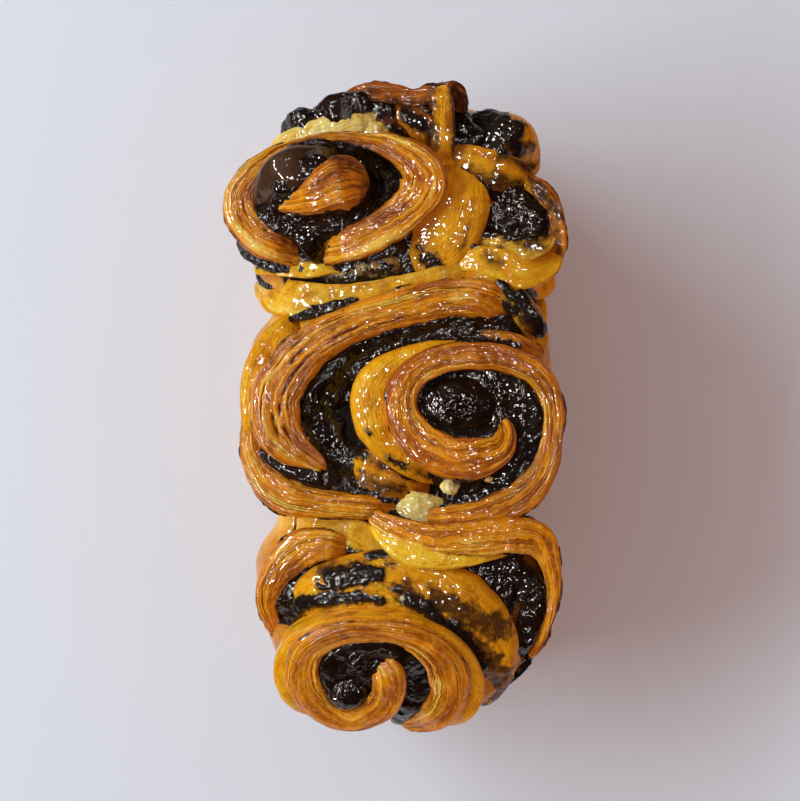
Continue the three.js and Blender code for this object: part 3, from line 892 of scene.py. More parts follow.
@dataclass
class FirstRoll(Roll):
    """The roll at the far end, tipped towards +X, with its chocolate dome and a lens of dough on it."""

    strands: tuple[Strand, ...] = (
        Strand("first_ring", CUT,
               ((-27.5, 50.5, 68.5, 3.4), (-19, 51.6, 71.5, 5), (-11, 54, 73.5, 5.6), (-3.4, 58, 75, 5.8),
                (3, 62.6, 76, 6.1), (7.5, 67.6, 77, 6.9), (9.3, 73.3, 77, 7.4), (6.3, 79, 76, 6),
                (-0.5, 83.2, 75, 4.1), (-9.5, 85.9, 74, 2.4), (-19, 87, 73, 1.7), (-31, 84.8, 71.5, 1.6),
                (-39.5, 81, 71, 2.4), (-46.3, 75, 70.5, 3.6), (-50, 69, 70.3, 4.6), (-49.8, 62.5, 70.3, 5.2),
                (-46, 57.3, 70.3, 6),
                (-40, 53.8, 70.3, 6), (-33, 51, 69.5, 5), (-27, 49, 68, 3.6)), sink=(3, 3),
               grooves=((-0.45, 0.25, 0.42, 0.9), (-0.05, 0.22, 0.4, 0.7), (-0.4, 0.76, 0.93, 0.9),
                        (0.1, 0.7, 0.95, 0.5))),
        Strand("first_channel", CHOCOLATE,
               ((-38, 81, 72, 1.8), (-30, 83, 73.5, 2.4), (-21.5, 83.6, 73, 2.6), (-13, 81.2, 70.5, 3),
                (-6, 77, 65, 4), (-2.8, 72.5, 63, 4.2), (-4.5, 66.5, 67, 3.8), (-11, 61.7, 70.5, 3.4),
                (-20, 58.6, 72, 3.3), (-29, 58, 72.5, 3.8), (-37, 60.5, 73, 4), (-42.5, 65.5, 73.5, 3.4),
                (-44, 71, 74, 2.6))),
        Strand("first_dome", SET,
               ((-42.5, 63.5, 75, 3), (-40.5, 69, 78.5, 5), (-36, 74, 81, 6.6), (-29.5, 77, 82, 6.4),
                (-23.5, 78.2, 81.8, 5), (-20, 77.6, 80, 3)), relief=-0.8),
        Strand("first_core", CUT,
               ((-38.6, 65.6, 77, 1.8), (-34.4, 65.4, 79.4, 3.2), (-29.2, 66, 81.6, 4.8),
                (-24.6, 67.4, 82.8, 6), (-20, 70, 83.6, 8), (-15.4, 71.4, 84, 8.6), (-11.8, 71.4, 83.4, 7.2),
                (-9.4, 71.2, 82.4, 5), (-8, 71, 81, 2.4)),
               grooves=((-0.45, 0.45, 0.95, 0.9), (0.3, 0.2, 0.6, 0.4)), sink=(3, 4), bake=0.2,
               scorch=((-19, 79, -9, 76, 1.6), (-8, 74, -10, 67, 1.4))),
        Strand("first_spill", CHOCOLATE,
               ((-34, 60.5, 73, 3), (-29.5, 56, 73.4, 3.4), (-26.4, 51, 72.6, 2.6), (-23, 47, 69, 3)),
               depth=9, relief=-0.2, sink=(2, 2)),
        Strand("first_ledge", CHOCOLATE,
               ((-51, 56, 63, 1.8), (-47.5, 51, 64, 2.4), (-41, 47.6, 65, 2.6), (-33, 45.8, 65.5, 2.4),
                (-24, 46.3, 66.5, 2.8), (-15, 46.8, 66.5, 2.6), (-7, 49, 67.5, 2.2), (0, 52, 69, 2),
                (6, 56, 71, 1.6)), relief=0.6, depth=9),
        Strand("first_leaf", ROLLED,
               ((-46, 45, 60.5, 1.2), (-40, 44.6, 63.6, 1.4), (-33, 45, 65.6, 2.6), (-26, 45.6, 66.6, 3.2),
                (-20, 45.6, 66.8, 2.2), (-14, 45.2, 66, 1.2)), depth=8, crown=0.3, sink=(1, 1), bake=-0.3,
               smears=((-45, 47, -40, 45, 1.2), (-20, 47, -16, 46, 1.2), (-30, 48, -24, 48.4, 0.8))),
        Strand("first_marbling", CHOCOLATE,
               ((-32, 43, 61, 2.2), (-20, 44, 65, 3.2), (-10, 45.3, 67, 4.2), (0, 47.5, 68, 4.2),
                (6, 50.5, 69, 2.6)), relief=0.6, smears=((-20, 45, 0, 48, 3.0),)),
        Strand("first_gap", CHOCOLATE,
               ((-46, 44.5, 58, 2), (-40, 41.5, 58, 2.6), (-32, 40.3, 59, 2.6), (-24, 40.5, 60.5, 2.4),
                (-14, 41.2, 63, 2.2), (-4, 42, 65, 2.4), (4, 43.5, 66, 2)), relief=0.6, depth=9),
    )


@dataclass
class Crest(Roll):
    """The far end's torn crest: bumps of chocolate, pale crumb and a dark hollow inside a thin rim."""

    strands: tuple[Strand, ...] = (
        Strand("crest_wall_upper", ROLLED,
               ((-6, 100.5, 69.5, 4), (2, 98, 71.2, 5.4), (8.5, 93, 71, 6), (12, 86, 69.8, 5),
                (13.5, 78, 68.4, 3)),
               crown=0.35, sink=(3, 3), bake=0.45, scorch=((2, 99, 10, 90, 2.6), (12, 90, 14, 79, 2.4)),
               smears=((3, 94, 8, 91, 2.0), (9, 97, 12, 94, 1.0))),
        Strand("crest_wall_lower", ROLLED,
               ((-19, 98, 67.5, 3.4), (-11, 97, 70, 5), (-3, 94, 70.4, 6.4), (4, 88.6, 69.4, 6.6),
                (9, 81.5, 67.6, 4)), crown=0.35, sink=(3, 3), bake=0.4,
               smears=((-10, 98, -2, 95.5, 2.6), (-1, 90, 3, 87, 1.2)),
               scorch=((-14, 97, 4, 91, 4.5), (4, 86, 9, 80, 3.0))),
        Strand("crest_hollow", CHOCOLATE,
               ((18, 100, 68.5, 3), (20.5, 94, 69.4, 4.4), (21, 86.5, 69, 4.4), (20, 79, 67.4, 3))),
        Strand("crest_rim", CUT,
               ((-18, 98, 68.5, 2.2), (-10, 101.2, 72, 3), (-1, 101, 72.8, 3), (6, 99.6, 72.5, 3),
                (13, 100.8, 73.3, 3.2), (19, 100.8, 73.6, 3.2), (22.5, 95.5, 71.5, 2.6)), crown=0.3, bake=0.5,
               scorch=((14, 103, 23, 97, 3.2), (-14, 99, -7, 100, 2.0), (-2, 98, 12, 97.5, 1.6)), spacing=0.9,
               sink=(2, 3)),
        Strand("crest_rib", ROLLED,
               ((12.4, 104.6, 68, 2.6), (13.6, 102.2, 74.4, 3.2), (15.2, 96.5, 75.4, 3.8),
                (15.9, 90, 73.2, 3.8),
                (15.4, 83, 71.6, 3.6), (17, 75, 70.8, 3)), crown=0.4, sink=(1, 2), bake=0.12,
               scorch=((19.2, 104, 19.6, 82, 2.4), (10.8, 104, 11.4, 84, 2.4))),
        Strand("crest_bumps", CHOCOLATE,
               ((-36.5, 87, 67, 3), (-31, 91, 71.5, 5.2), (-25.3, 92.6, 69.5, 3.8), (-20, 95.2, 73.5, 5),
                (-13.5, 97.6, 73, 4), (-7, 98.5, 73.2, 3), (0, 97.5, 72.4, 2.4)), relief=0.3, depth=13),
        Strand("crest_torn", TORN,
               ((-40, 83.5, 67, 2.6), (-34, 86.6, 69, 3), (-27, 88.4, 71, 3.6), (-18.5, 90.2, 72.5, 4.4),
                (-11, 92.5, 73.3, 4), (-5.5, 94, 73, 2.6)), crown=0.35, sink=(2, 2), depth=12),
        Strand("crest_torn_tip", TORN, ((-16, 88, 71, 3), (-8, 88.8, 72.3, 3.8), (0.5, 86.8, 71, 3)),
               crown=0.3, sink=(2, 2)),
        Strand("corner_lobe", ROLLED,
               ((22, 90, 64, 4), (29, 89.5, 68, 7.5), (37.6, 85.2, 68.6, 9.6), (41.4, 79.4, 64.4, 6.8),
                (42, 75, 60, 3)),
               smears=((22, 92, 30, 85, 5.5), (30, 94, 38, 90, 4.2), (24, 85, 34, 80, 4.0),
                       (36, 88, 40, 84, 2.0)),
               scorch=((24, 90, 38, 84, 7.5),)),
        Strand("corner_filling", CHOCOLATE,
               ((21, 92, 69, 2.6), (24.5, 88.5, 70, 4), (27.5, 84, 69.5, 3.8), (30, 80.5, 68.5, 2.2))),
    )


@dataclass
class SidePocket(Roll):
    """The pocket of filling on the +X side, its browned lip and the smooth saddle beside it."""

    strands: tuple[Strand, ...] = (
        Strand("saddle", ROLLED,
               ((15, 86, 68, 5), (19.5, 78, 70.8, 9), (20, 68, 72.3, 11), (17, 59, 72, 12),
                (11, 52.5, 70, 11), (4, 47.5, 68.5, 8.5), (-3, 43, 65, 6)), square=0.95, flat=0.95, crown=0.4,
               scorch=((20, 83, 30, 78, 1.6), (24, 60, 22, 52, 0.8)),
               smears=((14, 45.5, 10, 48.5, 2.0), (8, 52, 9, 51, 0.7)),
               sink=(4, 6)),
        Strand("side_ridge", ROLLED,
               ((10, 80, 67.6, 4), (19, 79, 69, 6), (28, 77.4, 69.4, 6.6), (37, 75.4, 68.8, 6),
                (45.5, 72.2, 67, 4)), flat=0.9, crown=0.12, sink=(3, 3), bake=0.05,
               scorch=((24, 75, 46, 69, 3.4), (34, 82, 44, 78, 2.0))),
        Strand("pocket_side", ROLLED,
               ((15, 75, 69, 4), (23, 72.6, 70, 5.4), (31, 70.4, 68.8, 5.2), (39, 68, 66.6, 3.6)),
               crown=0.2, sink=(3, 3), bake=0.2, scorch=((28, 74, 42, 68, 5.0),),
               smears=((31.5, 70.5, 42, 66, 3.2),)),
        Strand("side_lip", CUT,
               ((38, 76, 66, 2.6), (44.5, 72.6, 68, 3), (49.8, 67, 68.3, 3), (52.3, 59.4, 67.3, 3),
                (52.2, 51.5, 65.6, 3), (50, 45, 62, 2.6)), crown=0.3, spacing=1.1,
               scorch=((44, 74, 53, 62, 2.2), (52, 60, 53, 50, 1.2)), bake=0.1),
        Strand("side_apron", ROLLED,
               ((16, 46, 68, 2.6), (24, 48.2, 70, 4), (32.5, 46.6, 70.4, 5.2), (41, 44.2, 69.6, 5.8),
                (48.4, 46, 67.4, 5), (52, 52, 65.6, 3.4)), crown=0.25, bake=-0.2, sink=(2, 2),
               scorch=((29.5, 49, 33.5, 46, 1.5),), smears=((17, 50, 26, 52.4, 0.8),)),
        Strand("side_filling", CHOCOLATE,
               ((28.5, 69.4, 65.5, 3), (34, 66.4, 67.4, 4.8), (40, 63.2, 68.4, 6), (45.3, 59.6, 69, 5.8),
                (48.8, 54.8, 68, 4))),
        Strand("side_floor", TORN,
               ((28.5, 61.4, 65.6, 2.6), (32.5, 59.4, 67.2, 4), (37.5, 57, 67.4, 4), (42.5, 55.4, 66.4, 2.6)),
               bake=0.5, crown=0.2, scorch=((29, 63, 40, 59, 1.4), (34, 57, 40, 56, 1.6))),
        Strand("side_filling_edge", CHOCOLATE,
               ((24, 56, 67, 1.4), (31, 55.4, 68.6, 1.5), (39, 54.4, 68.8, 1.5), (46, 54.5, 67.6, 1.6)),
               sink=(2, 2)),
        Strand("side_lip_inner", TORN,
               ((23, 53.6, 67.4, 2.4), (31, 52, 69.6, 3.6), (39.5, 51, 69.8, 4.2), (47, 53.4, 69, 3.6),
                (51.5, 59.5, 67.5, 2.2)), crown=0.25, bake=0.6, smears=((24, 56, 46, 54.5, 0.9),),
               sink=(2, 2), scorch=((24, 52, 34, 50.5, 1.6), (40, 53, 48, 52, 1.4), (46, 52, 52, 60, 1.6))),
        Strand("side_shoulder", ROLLED,
               ((24, 46, 67, 3.4), (33, 43, 68, 5), (41, 41, 67, 6), (47.5, 41, 64, 5.4),
                (51, 46, 62, 3.4)), smears=((36, 43, 44, 36, 2.2), (33, 41, 38, 38, 1.2))),
        Strand("neck_fold", ROLLED,
               ((17, 46.5, 68, 2.4), (26, 42, 70, 3.4), (34, 38.5, 70, 4.2), (40.5, 33, 69, 4.6),
                (45, 26, 68, 4.2), (48, 18, 67.5, 3.2)),
               smears=((34, 40, 40, 33, 1.6), (41, 36, 47, 25, 2.4), (33, 35.5, 38, 31, 1.4)),
               scorch=((24, 41, 34, 37, 1.4), (36, 34, 44, 26, 2.4))),
        Strand("neck_filling", CHOCOLATE,
               ((37, 40.5, 66.5, 2.4), (41.5, 35.5, 67.5, 3.2), (44.6, 29.5, 66.5, 3.2),
                (46.8, 23, 65, 2.4)), relief=0.6, smears=((39, 36, 46, 24, 1.8),)),
        Strand("neck_side", ROLLED,
               ((46, 39, 60, 3), (46.6, 33, 60, 3.2), (47, 26, 60.5, 3), (47.8, 19, 62, 3))),
        Strand("neck_thread_lower", CUT,
               ((24, 23.8, 70, 1.2), (32, 23.2, 71.2, 1.7), (40, 21, 71.4, 2.2), (47.5, 16.6, 70.6, 2.4)),
               smears=((28, 23, 40, 20, 0.9),), bake=0.3, crown=0.4, sink=(2, 2)),
    )
    lumps: tuple[Lump, ...] = (
        Lump("side_blob", CHOCOLATE, (45.6, 60.6, 65), (5.4, 7.5, 4.6), 0.4),
    )


@dataclass
class Waist(Roll):
    """The fold between the first two rolls and the yellow skin under it."""

    strands: tuple[Strand, ...] = (
        Strand("waist_fold", PALE,
               ((-41.6, 44, 44, 4.6), (-41.4, 41.4, 52, 5.4), (-39.8, 38.8, 58, 6), (-37.5, 36.6, 61.6, 6.4),
                (-30.5, 34.8, 65, 6.4), (-22, 35, 67, 5.4),
                (-11, 36.8, 68.5, 3.8), (2, 39.8, 69.5, 3), (14, 42.6, 70, 3), (26, 44.6, 70, 3.2)),
               crown=0.2, sink=(2, 3)),
        Strand("waist_skin", PALE,
               ((-38, 31, 46, 5), (-36.5, 30, 54, 5.4), (-33, 29, 61.5, 5.4), (-26.5, 29.8, 65.5, 4.8),
                (-16, 33, 67.8, 3.6),
                (-5, 36, 68.5, 2.4)), crown=0.2, sink=(2, 3)),
        Strand("waist_streak", CHOCOLATE,
               ((-36, 28.2, 65, 0.9), (-30, 29.8, 67.6, 1.5), (-23, 31.8, 69, 2), (-17, 33.4, 70, 1.9),
                (-10.5, 34, 70, 1)), depth=5, relief=0.7, sink=(1.5, 1.5)),
    )


@dataclass
class MiddleRoll(Roll):
    """The largest roll: a wide ring, a deep channel of filling, and a second roll coiled inside."""

    strands: tuple[Strand, ...] = (
        Strand("middle_ring", CUT,
               ((38.5, 28.5, 68, 3), (34.5, 32, 71.5, 5), (27.5, 35, 73, 6.2), (15, 35, 74, 6.5),
                (3, 32.4, 75, 6.5), (-10, 28.3, 75.5, 6.4), (-22, 22.8, 76, 6.6), (-31.5, 15, 75.5, 7.2),
                (-37.8, 4.5, 75, 7.7),
                (-37.5, -5, 74, 8), (-33.4, -11.8, 73.2, 6), (-27.5, -16, 72.4, 4), (-22, -19.4, 71.6, 1.6)),
               grooves=((0.55, 0.45, 0.9, 1.0), (0.12, 0.5, 0.95, 1.4), (-0.25, 0.42, 0.95, 1.5),
                        (-0.55, 0.3, 0.9, 1.0), (0.5, 0.02, 0.35, 0.8)), sink=(3, 1)),
        Strand("middle_skin", ROLLED,
               ((-24, 31.5, 62, 3), (-33, 27, 65, 4.4), (-40, 20.5, 67, 4.8), (-44.6, 11.5, 69, 4.4),
                (-46, 2, 68.5, 4), (-45.8, -8, 66, 3.8), (-46, -16, 61, 3)), sink=(6, 3)),
        Strand("middle_channel", CHOCOLATE,
               ((45, 24.3, 65.5, 2, 10), (38, 26.8, 68.5, 2.4, 15), (27, 27, 70, 2.8, 20),
                (14, 26, 70, 3, 25), (3, 23, 69.5, 3.4, 25), (-8, 18.5, 68.5, 4.4, 28),
                (-16.5, 12, 67.5, 6, 30), (-22.5, 4, 66.5, 6.6, 30), (-23, -4, 66, 6.2, 28),
                (-19.5, -11, 65, 5, 20))),
        Strand("inner_side", ROLLED,
               ((27, 20, 71.5, 2), (17, 19.2, 73, 2.8), (8, 17.6, 74, 3.4), (0.4, 14.2, 74.8, 4.6),
                (-5.2, 9.2, 75.8, 6), (-7.6, 2.5, 76.5, 6.8),
                (-5.8, -5.5, 76, 6.8), (-0.2, -12.5, 74, 6), (8, -18.5, 72, 5), (16, -22.5, 70, 3.6)),
               square=0.95, flat=0.95, crown=0.5, smears=((-9, -7, -8, -8, 0.5), (-2, -15.8, 3, -18.5, 0.8)),
               scorch=((4, -18.5, 12, -23, 0.8),), sink=(2, 4), bake=-0.12),
        Strand("inner_roll", CUT,
               ((34.6, -3, 77, 1.4), (35.5, -8, 79, 3.2), (33, -13, 80.5, 5), (26, -15.8, 81.5, 6.4),
                (17, -15.5, 82, 6.6), (8.5, -11, 81.5, 6), (3, -3, 80.5, 5.4), (2.3, 5, 80, 5),
                (6.5, 11.5, 79.5, 4.6), (15, 15.6, 79, 4.2), (26, 16.6, 78, 4.2), (36, 15.4, 76.5, 4.2),
                (45, 10.8, 75, 4.2), (50, 2.5, 74, 4), (50.5, -8, 73.5, 3.6), (48.5, -18, 73, 4.2),
                (43, -26.5, 72.5, 5), (34, -32, 71.5, 5.2), (24, -35, 70.5, 4.6), (13, -36, 69.5, 3.8),
                (5, -37, 68, 2.4)),
               grooves=((0.2, 0.25, 0.5, 0.6), (-0.35, 0.5, 0.62, 0.6), (0.1, 0.6, 0.8, 0.5)), sink=(2, 4),
               bake=0.18),
        Strand("right_pool", CHOCOLATE,
               ((22, 6, 73.5, 5), (30, 6.5, 75, 6), (36.5, 4.5, 75.3, 6.4), (41, -1, 75, 6),
                (42.6, -8, 74, 5.4), (42, -15, 72.5, 4.8), (38.5, -21.5, 71, 4.6), (33, -26.5, 69.5, 4),
                (26, -29.3, 68.5, 3.2), (18, -30.8, 67, 2.4)), relief=0.05),
        Strand("sliver_filling", CHOCOLATE,
               ((-46, -9, 67, 1.4), (-42.5, -12.8, 68.5, 2.4), (-36.5, -17.2, 70, 3.1),
                (-29, -20.6, 71, 3.2), (-22, -22.3, 71, 3.4), (-16, -22.5, 70, 2.4)), relief=0.1),
        Strand("pocket_fold", ROLLED,
               ((-21.5, -14.6, 63.5, 3), (-15, -17.6, 66.8, 6), (-5, -20.8, 68.6, 7), (5, -24.6, 68.4, 5.2),
                (11, -27.6, 66.6, 3)), crown=0.15, bake=0.25, sink=(7, 3),
               smears=((-16, -13, -10, -15, 1.4), (-2, -18, 5, -22.5, 1.2), (-14, -26, -4, -28, 0.8),
                       (-11, -20, -10, -20.5, 0.5)),
               scorch=((-20, -23, 2, -26, 2.0), (-8, -17, 4, -21, 1.4))),
        Strand("pocket_seam", CHOCOLATE,
               ((-20, -24.8, 68.5, 1.6), (-10, -27.6, 68.5, 1.6), (-2, -29, 68, 1.6), (5, -28.2, 67, 1.4)),
               relief=0.7),
        Strand("lower_band", CUT,
               ((-46.6, 4, 65, 1.8), (-47.6, -7, 66, 2.4), (-46.2, -15.5, 67, 3.6), (-41.6, -23.4, 68.4, 5.4),
                (-34.5, -28.4, 69.6, 6), (-25, -30.4, 70, 5.2), (-15, -31.4, 70, 4.4), (-6, -32.4, 69.6, 3.6),
                (1, -33.4, 69, 2.6)), spacing=1.0, sink=(4, 3), bake=-0.1),
        Strand("butter_tear", TORN, ((-3, -29.4, 66, 3), (4, -31.4, 67.2, 4.8), (11, -32.6, 67.2, 4.8),
                                     (18, -33.6, 66.4, 3)), crown=0.15, sink=(1, 1), bake=-0.1),
    )
    lumps: tuple[Lump, ...] = (
        Lump("centre_pool", CHOCOLATE, (20.3, 0.6, 69.5), (15, 11.2, 8.5), 0.35),
        Lump("butter_crumb", TORN, (17.8, -25.4, 69.5), (3.2, 2.8, 2.6), 0.9),
        Lump("butter_speck", TORN, (30, -22.6, 70), (1.8, 1.2, 1.6), 0.4),
    )


@dataclass
class LastRoll(Roll):
    """The near roll, fallen forward so that its coiled end faces -Y and up."""

    strands: tuple[Strand, ...] = (
        Strand("last_gap", PALE,
               ((-38, -36, 59, 4), (-29, -37, 64, 5), (-19, -38.8, 67, 5.6), (-10, -42, 68, 5.2),
                (-3.5, -44.5, 67.5, 5), (5, -45, 67, 4)), crown=0.3, sink=(4, 2),
                smears=((-16, -46, -9, -48, 1.2),)),
        Strand("wrap_skin", ROLLED,
               ((-7, -36.5, 70, 2), (-2, -41.6, 72.6, 4), (5, -45.6, 73.8, 4.8), (13, -47.2, 73.6, 4.6),
                (21, -47.2, 72.8, 4), (30, -46.2, 71.4, 3), (38, -44.8, 70, 2.2)), crown=0.4, bake=-0.45,
               sink=(1, 3)),
        Strand("last_wrap", CUT,
               ((-8, -34.2, 70, 2), (-2, -37.4, 72.2, 3.4), (5, -40, 73.8, 4.2), (13, -41.4, 74.4, 4.8),
                (22, -41.4, 74, 5.2), (31, -40.8, 73, 5.6), (40, -40.4, 71.4, 6), (47, -43.4, 69, 5.2),
                (50.6, -51.5, 66.6, 3.2), (51.4, -60, 64.8, 2.4), (49.6, -69, 63, 2.2), (47, -77, 61.5, 2),
                (44.5, -82, 60, 1.6)), crown=0.35, bake=-0.05, sink=(1, 4)),
        Strand("last_left_lobe", CUT,
               ((-10, -47.4, 68, 1.4), (-16, -45.4, 69.8, 3.4), (-23, -43.8, 70.6, 5.4),
                (-30, -45.2, 70.2, 6.2), (-36, -50.2, 69, 5.6), (-40, -57, 67.4, 4.4),
                (-41.4, -63.5, 65.5, 3.4), (-40, -70, 63, 2.8),
                (-37.5, -76, 60, 2)),
               spacing=1.0),
        Strand("last_crescent", CHOCOLATE,
               ((-14, -49.5, 65, 1.4), (-20, -50.5, 66, 2), (-27, -54, 66.5, 2.6), (-33, -59, 66, 3),
                (-36.5, -65, 65, 2.8), (-37.8, -71, 62.5, 2))),
        Strand("last_shoulder", ROLLED,
               ((-36, -76, 61, 4), (-31.5, -67, 67, 7), (-22, -60, 71.5, 9.5), (-8, -57, 73.5, 11),
                (6, -58.5, 73.5, 11.5), (19, -63.5, 72, 12), (28, -72, 69, 11), (31, -82, 64.5, 9),
                (29, -92, 58, 7), (24, -99, 52, 4)), square=0.95, flat=0.95, crown=0.4,
               smears=((-38, -74, -31, -64, 2.8), (-31, -63, -20, -60.8, 2.6), (-20, -60.8, -11, -60.2, 2.2),
                       (-11, -60.2, -4, -61.4, 1.3), (-19, -55, -11.5, -53.4, 3.6),
                       (-12, -54.4, -5.4, -52.6, 2.6), (-24, -57, -22, -57.5, 1.2),
                       (4, -61.5, 10.5, -64, 2.4), (12, -67, 23, -74.5, 2.8), (0, -57.6, 1.5, -57.8, 1.2),
                       (-2, -49.8, -1, -49.8, 0.9),
                       (23, -74, 28, -84, 2.2), (-8, -47, -2, -46.6, 1.4)),
               scorch=((14, -62, 34, -72, 5.0), (22, -74, 34, -92, 7.0), (-24, -52, -10, -50, 2.0),
                       (2, -58, 14, -66, 3.4))),
        Strand("last_pool", CHOCOLATE,
               ((12, -51.5, 64, 1.6), (20, -53, 65.5, 2.2), (29, -52.5, 66.5, 3), (37, -52.5, 66.5, 4.4),
                (43.2, -57.5, 65.5, 5), (45, -65, 64.5, 4.6), (43, -72.5, 62.5, 3.8),
                (40.5, -79.5, 60, 2.8), (38, -85.5, 57, 2)), relief=0.2),
        Strand("last_pool_crumbs", CHOCOLATE,
               ((46, -79, 55, 1.8), (42, -85, 54, 2.2), (37, -90, 52, 2.2), (32, -93.5, 50, 1.8)),
               relief=0.7, depth=7),
        Strand("last_rim", ROLLED,
               ((-27, -102.5, 54, 2), (-33, -96.5, 58, 2.8), (-36, -89, 62.5, 3.2), (-35.2, -81, 67, 3.4),
                (-30.3, -74.6, 71, 3.2), (-22.8, -70.8, 74.4, 2.9), (-13, -68.8, 76.8, 2.7),
                (-1, -68.8, 77, 2.8), (9.4, -71.4, 75.2, 3.2), (18.3, -77, 71.6, 3.6),
                (24.2, -85.4, 66, 3.8), (25.6, -94.5, 60, 3.6), (22, -102, 55, 2.8), (15, -106, 52, 2)),
               lean=22, bake=-0.2),
        Strand("last_face", CUT,
               ((-10.4, -79.6, 73.6, 2.6), (-4.6, -82.4, 73, 4.8), (-1.6, -90, 68.4, 5.4),
                (-5, -98.8, 62, 5.4), (-14.5, -103.4, 57.6, 5.2), (-24, -99.4, 60, 5.6),
                (-29.6, -89.5, 66.4, 5.8), (-28.4, -79.8, 72.4, 5.2), (-20.2, -73.6, 76.4, 4.6),
                (-8, -71.4, 78, 4.4), (4, -73.4, 76.5, 5), (13.5, -79.7, 72.5, 6), (17.8, -88.7, 66.5, 6.8),
                (16.4, -98, 60.2, 6.4), (9.6, -104.6, 55.8, 4.8), (2, -106.4, 53.4, 2.6)), lean=34,
               spacing=1.05, depth=13, fringe=0.5,
               grooves=((0.6, 0.35, 0.9, 0.7), (0.2, 0.45, 0.8, 0.5))),
        Strand("last_face_filling", CHOCOLATE,
               ((-17, -95, 62.6, 3.4), (-20, -89.5, 66.4, 3.6), (-20, -83, 70.3, 3.2), (-15, -78, 73, 2.8),
                (-4, -76.6, 74, 2.4), (5, -81, 71, 3.2), (8.2, -88, 65.4, 3.8),
                (6, -96.5, 59.6, 3.6), (1.6, -103, 55, 3), (-0.5, -106, 52.6, 2)), lean=34, depth=13,
               relief=0.15),
    )
    lumps: tuple[Lump, ...] = (
        Lump("last_blob", CHOCOLATE, (-15.6, -91.4, 62.4), (7.0, 6.6, 4.4), 0.4),
    )


@dataclass
class FillingBed:
    """The bed of chocolate that fills the loaf between the bands, following their heights."""

    half_length: float = 98.0
    floor: float = 46.0
    section: float = 90.0    # the bed's greatest width, which sets the points across
    end_power: int = 30      # the higher it is, the squarer the bed's ends
    base_stride: int = 20    # the underside has one point for this many on the upper face
    edges: Rows = ((-98, -24, 24), (-90, -30, 32), (-75, -34, 38), (-50, -36, 44), (-36, -32, 43),
                   (-22, -40, 46), (0, -43, 47), (18, -40, 45), (30, -33, 44), (45, -40, 47),
                   (65, -44, 48), (85, -38, 40), (98, -20, 20))
    hollows: Rows = ((-15.5, 6, 50, 3), (-17, -1, 50, 4), (-14, -8, 52, 3), (-3, 76, 56, 2.2),
                     (10.5, -27, 52, 3), (-4.5, -46, 58, 2), (-38, 41, 53, 2.5), (-30, 40.5, 54, 2),
                     (9, -90, 54, 2.5), (15, -51, 60, 1.5))

    def height(self, x: Array, y: Array, strands: list[Strand]) -> tuple[Array, Array]:
        """Works out the bed's height: the mean of the heights that the strands ask for, each counting less
        with the square of the distance in a bell curve.

        Args:
            x: places across the loaf, in mm.
            y: places along the loaf, in mm.
            strands: every strand of the loaf.

        Returns:
            The height at each place in mm, and the share of it that dough strands asked for.
        """
        asked = [(strand.surface not in FILLINGS, strand.samples()) for strand in strands]
        asked.append((False, np.array(self.hollows)))
        total, weight, dough = np.zeros_like(x), np.full_like(x, 1e-9), np.zeros_like(x)
        for is_dough, samples in asked:
            for ax, ay, az, reach in samples:
                near = np.exp(-((x - ax) ** 2 + (y - ay) ** 2) / reach**2) + 1e-5
                total += near * az
                weight += near
                dough += near * is_dough
        return total / weight, dough / weight

    def build(self, finishes: Finishes, gap: float, strands: list[Strand]) -> None:
        """Makes the bed: a flat pillow whose upper face has the worked-out height, roughened by crumbs.

        Args:
            finishes: the loaf's finishes.
            gap: the distance between points, in mm.
            strands: every strand of the loaf.
        """
        step = gap * 1.3
        way = np.linspace(-1, 1, int(2 * self.half_length / step))
        y = self.half_length * way[:, None]
        rows, left, right = np.array(self.edges).T
        left, right = np.interp(y, rows, left), np.interp(y, rows, right)
        centre = (left + right) / 2
        wide = (right - left) / 2 * np.sqrt(np.maximum(1 - np.abs(way) ** self.end_power, 0))[:, None]
        share = np.linspace(-1, 1, int(self.section / step))
        upper_x = centre + wide * share[None]
        upper_y = y + 0 * upper_x
        upper, dough = self.height(upper_x, upper_y, strands)
        edge = smooth_step(1.0, 0.9, np.abs(share))[None] * smooth_step(1.0, 0.96, np.abs(way))[:, None]
        upper = self.floor + 4 + (upper - self.floor - 4) * edge
        lower_x = centre + wide * share[None, -2:0:-self.base_stride]
        points = np.concatenate([
            np.stack([upper_x, upper_y, upper], axis=-1),
            np.stack([lower_x, y + 0 * lower_x, self.floor + 0 * lower_x], axis=-1)], axis=1)
        top, banks = np.zeros(points.shape[:2]), np.zeros(points.shape[:2])
        top[:, :len(share)] = edge
        banks[:, :len(share)] = smooth_step(0.02, 0.35, dough)
        grid = Grid(points)
        # crumbs in patches of 6 mm and along the banks of dough, on lumps of 3.8 mm
        rough = smooth_step(-0.15, 0.35, NOISE.at(points / 6.0 + 5) + 0.6 * banks)
        lumps = NOISE.layered(points / 3.8, 2)
        crumbs = 0.5 - np.abs(NOISE.layered(points / 1.7 + 9, 3))
        grid.points[..., 2] += (0.8 * lumps + (0.2 + 0.8 * rough) * 1.3 * crumbs) * top
        grid.masks = {"rough": rough, "bits": np.zeros_like(rough)}
        piece = grid.to_object("filling_bed")
        finishes.dress(piece, Surface.CHOCOLATE)
        log.info("filling_bed: %d faces", len(piece.data.polygons))


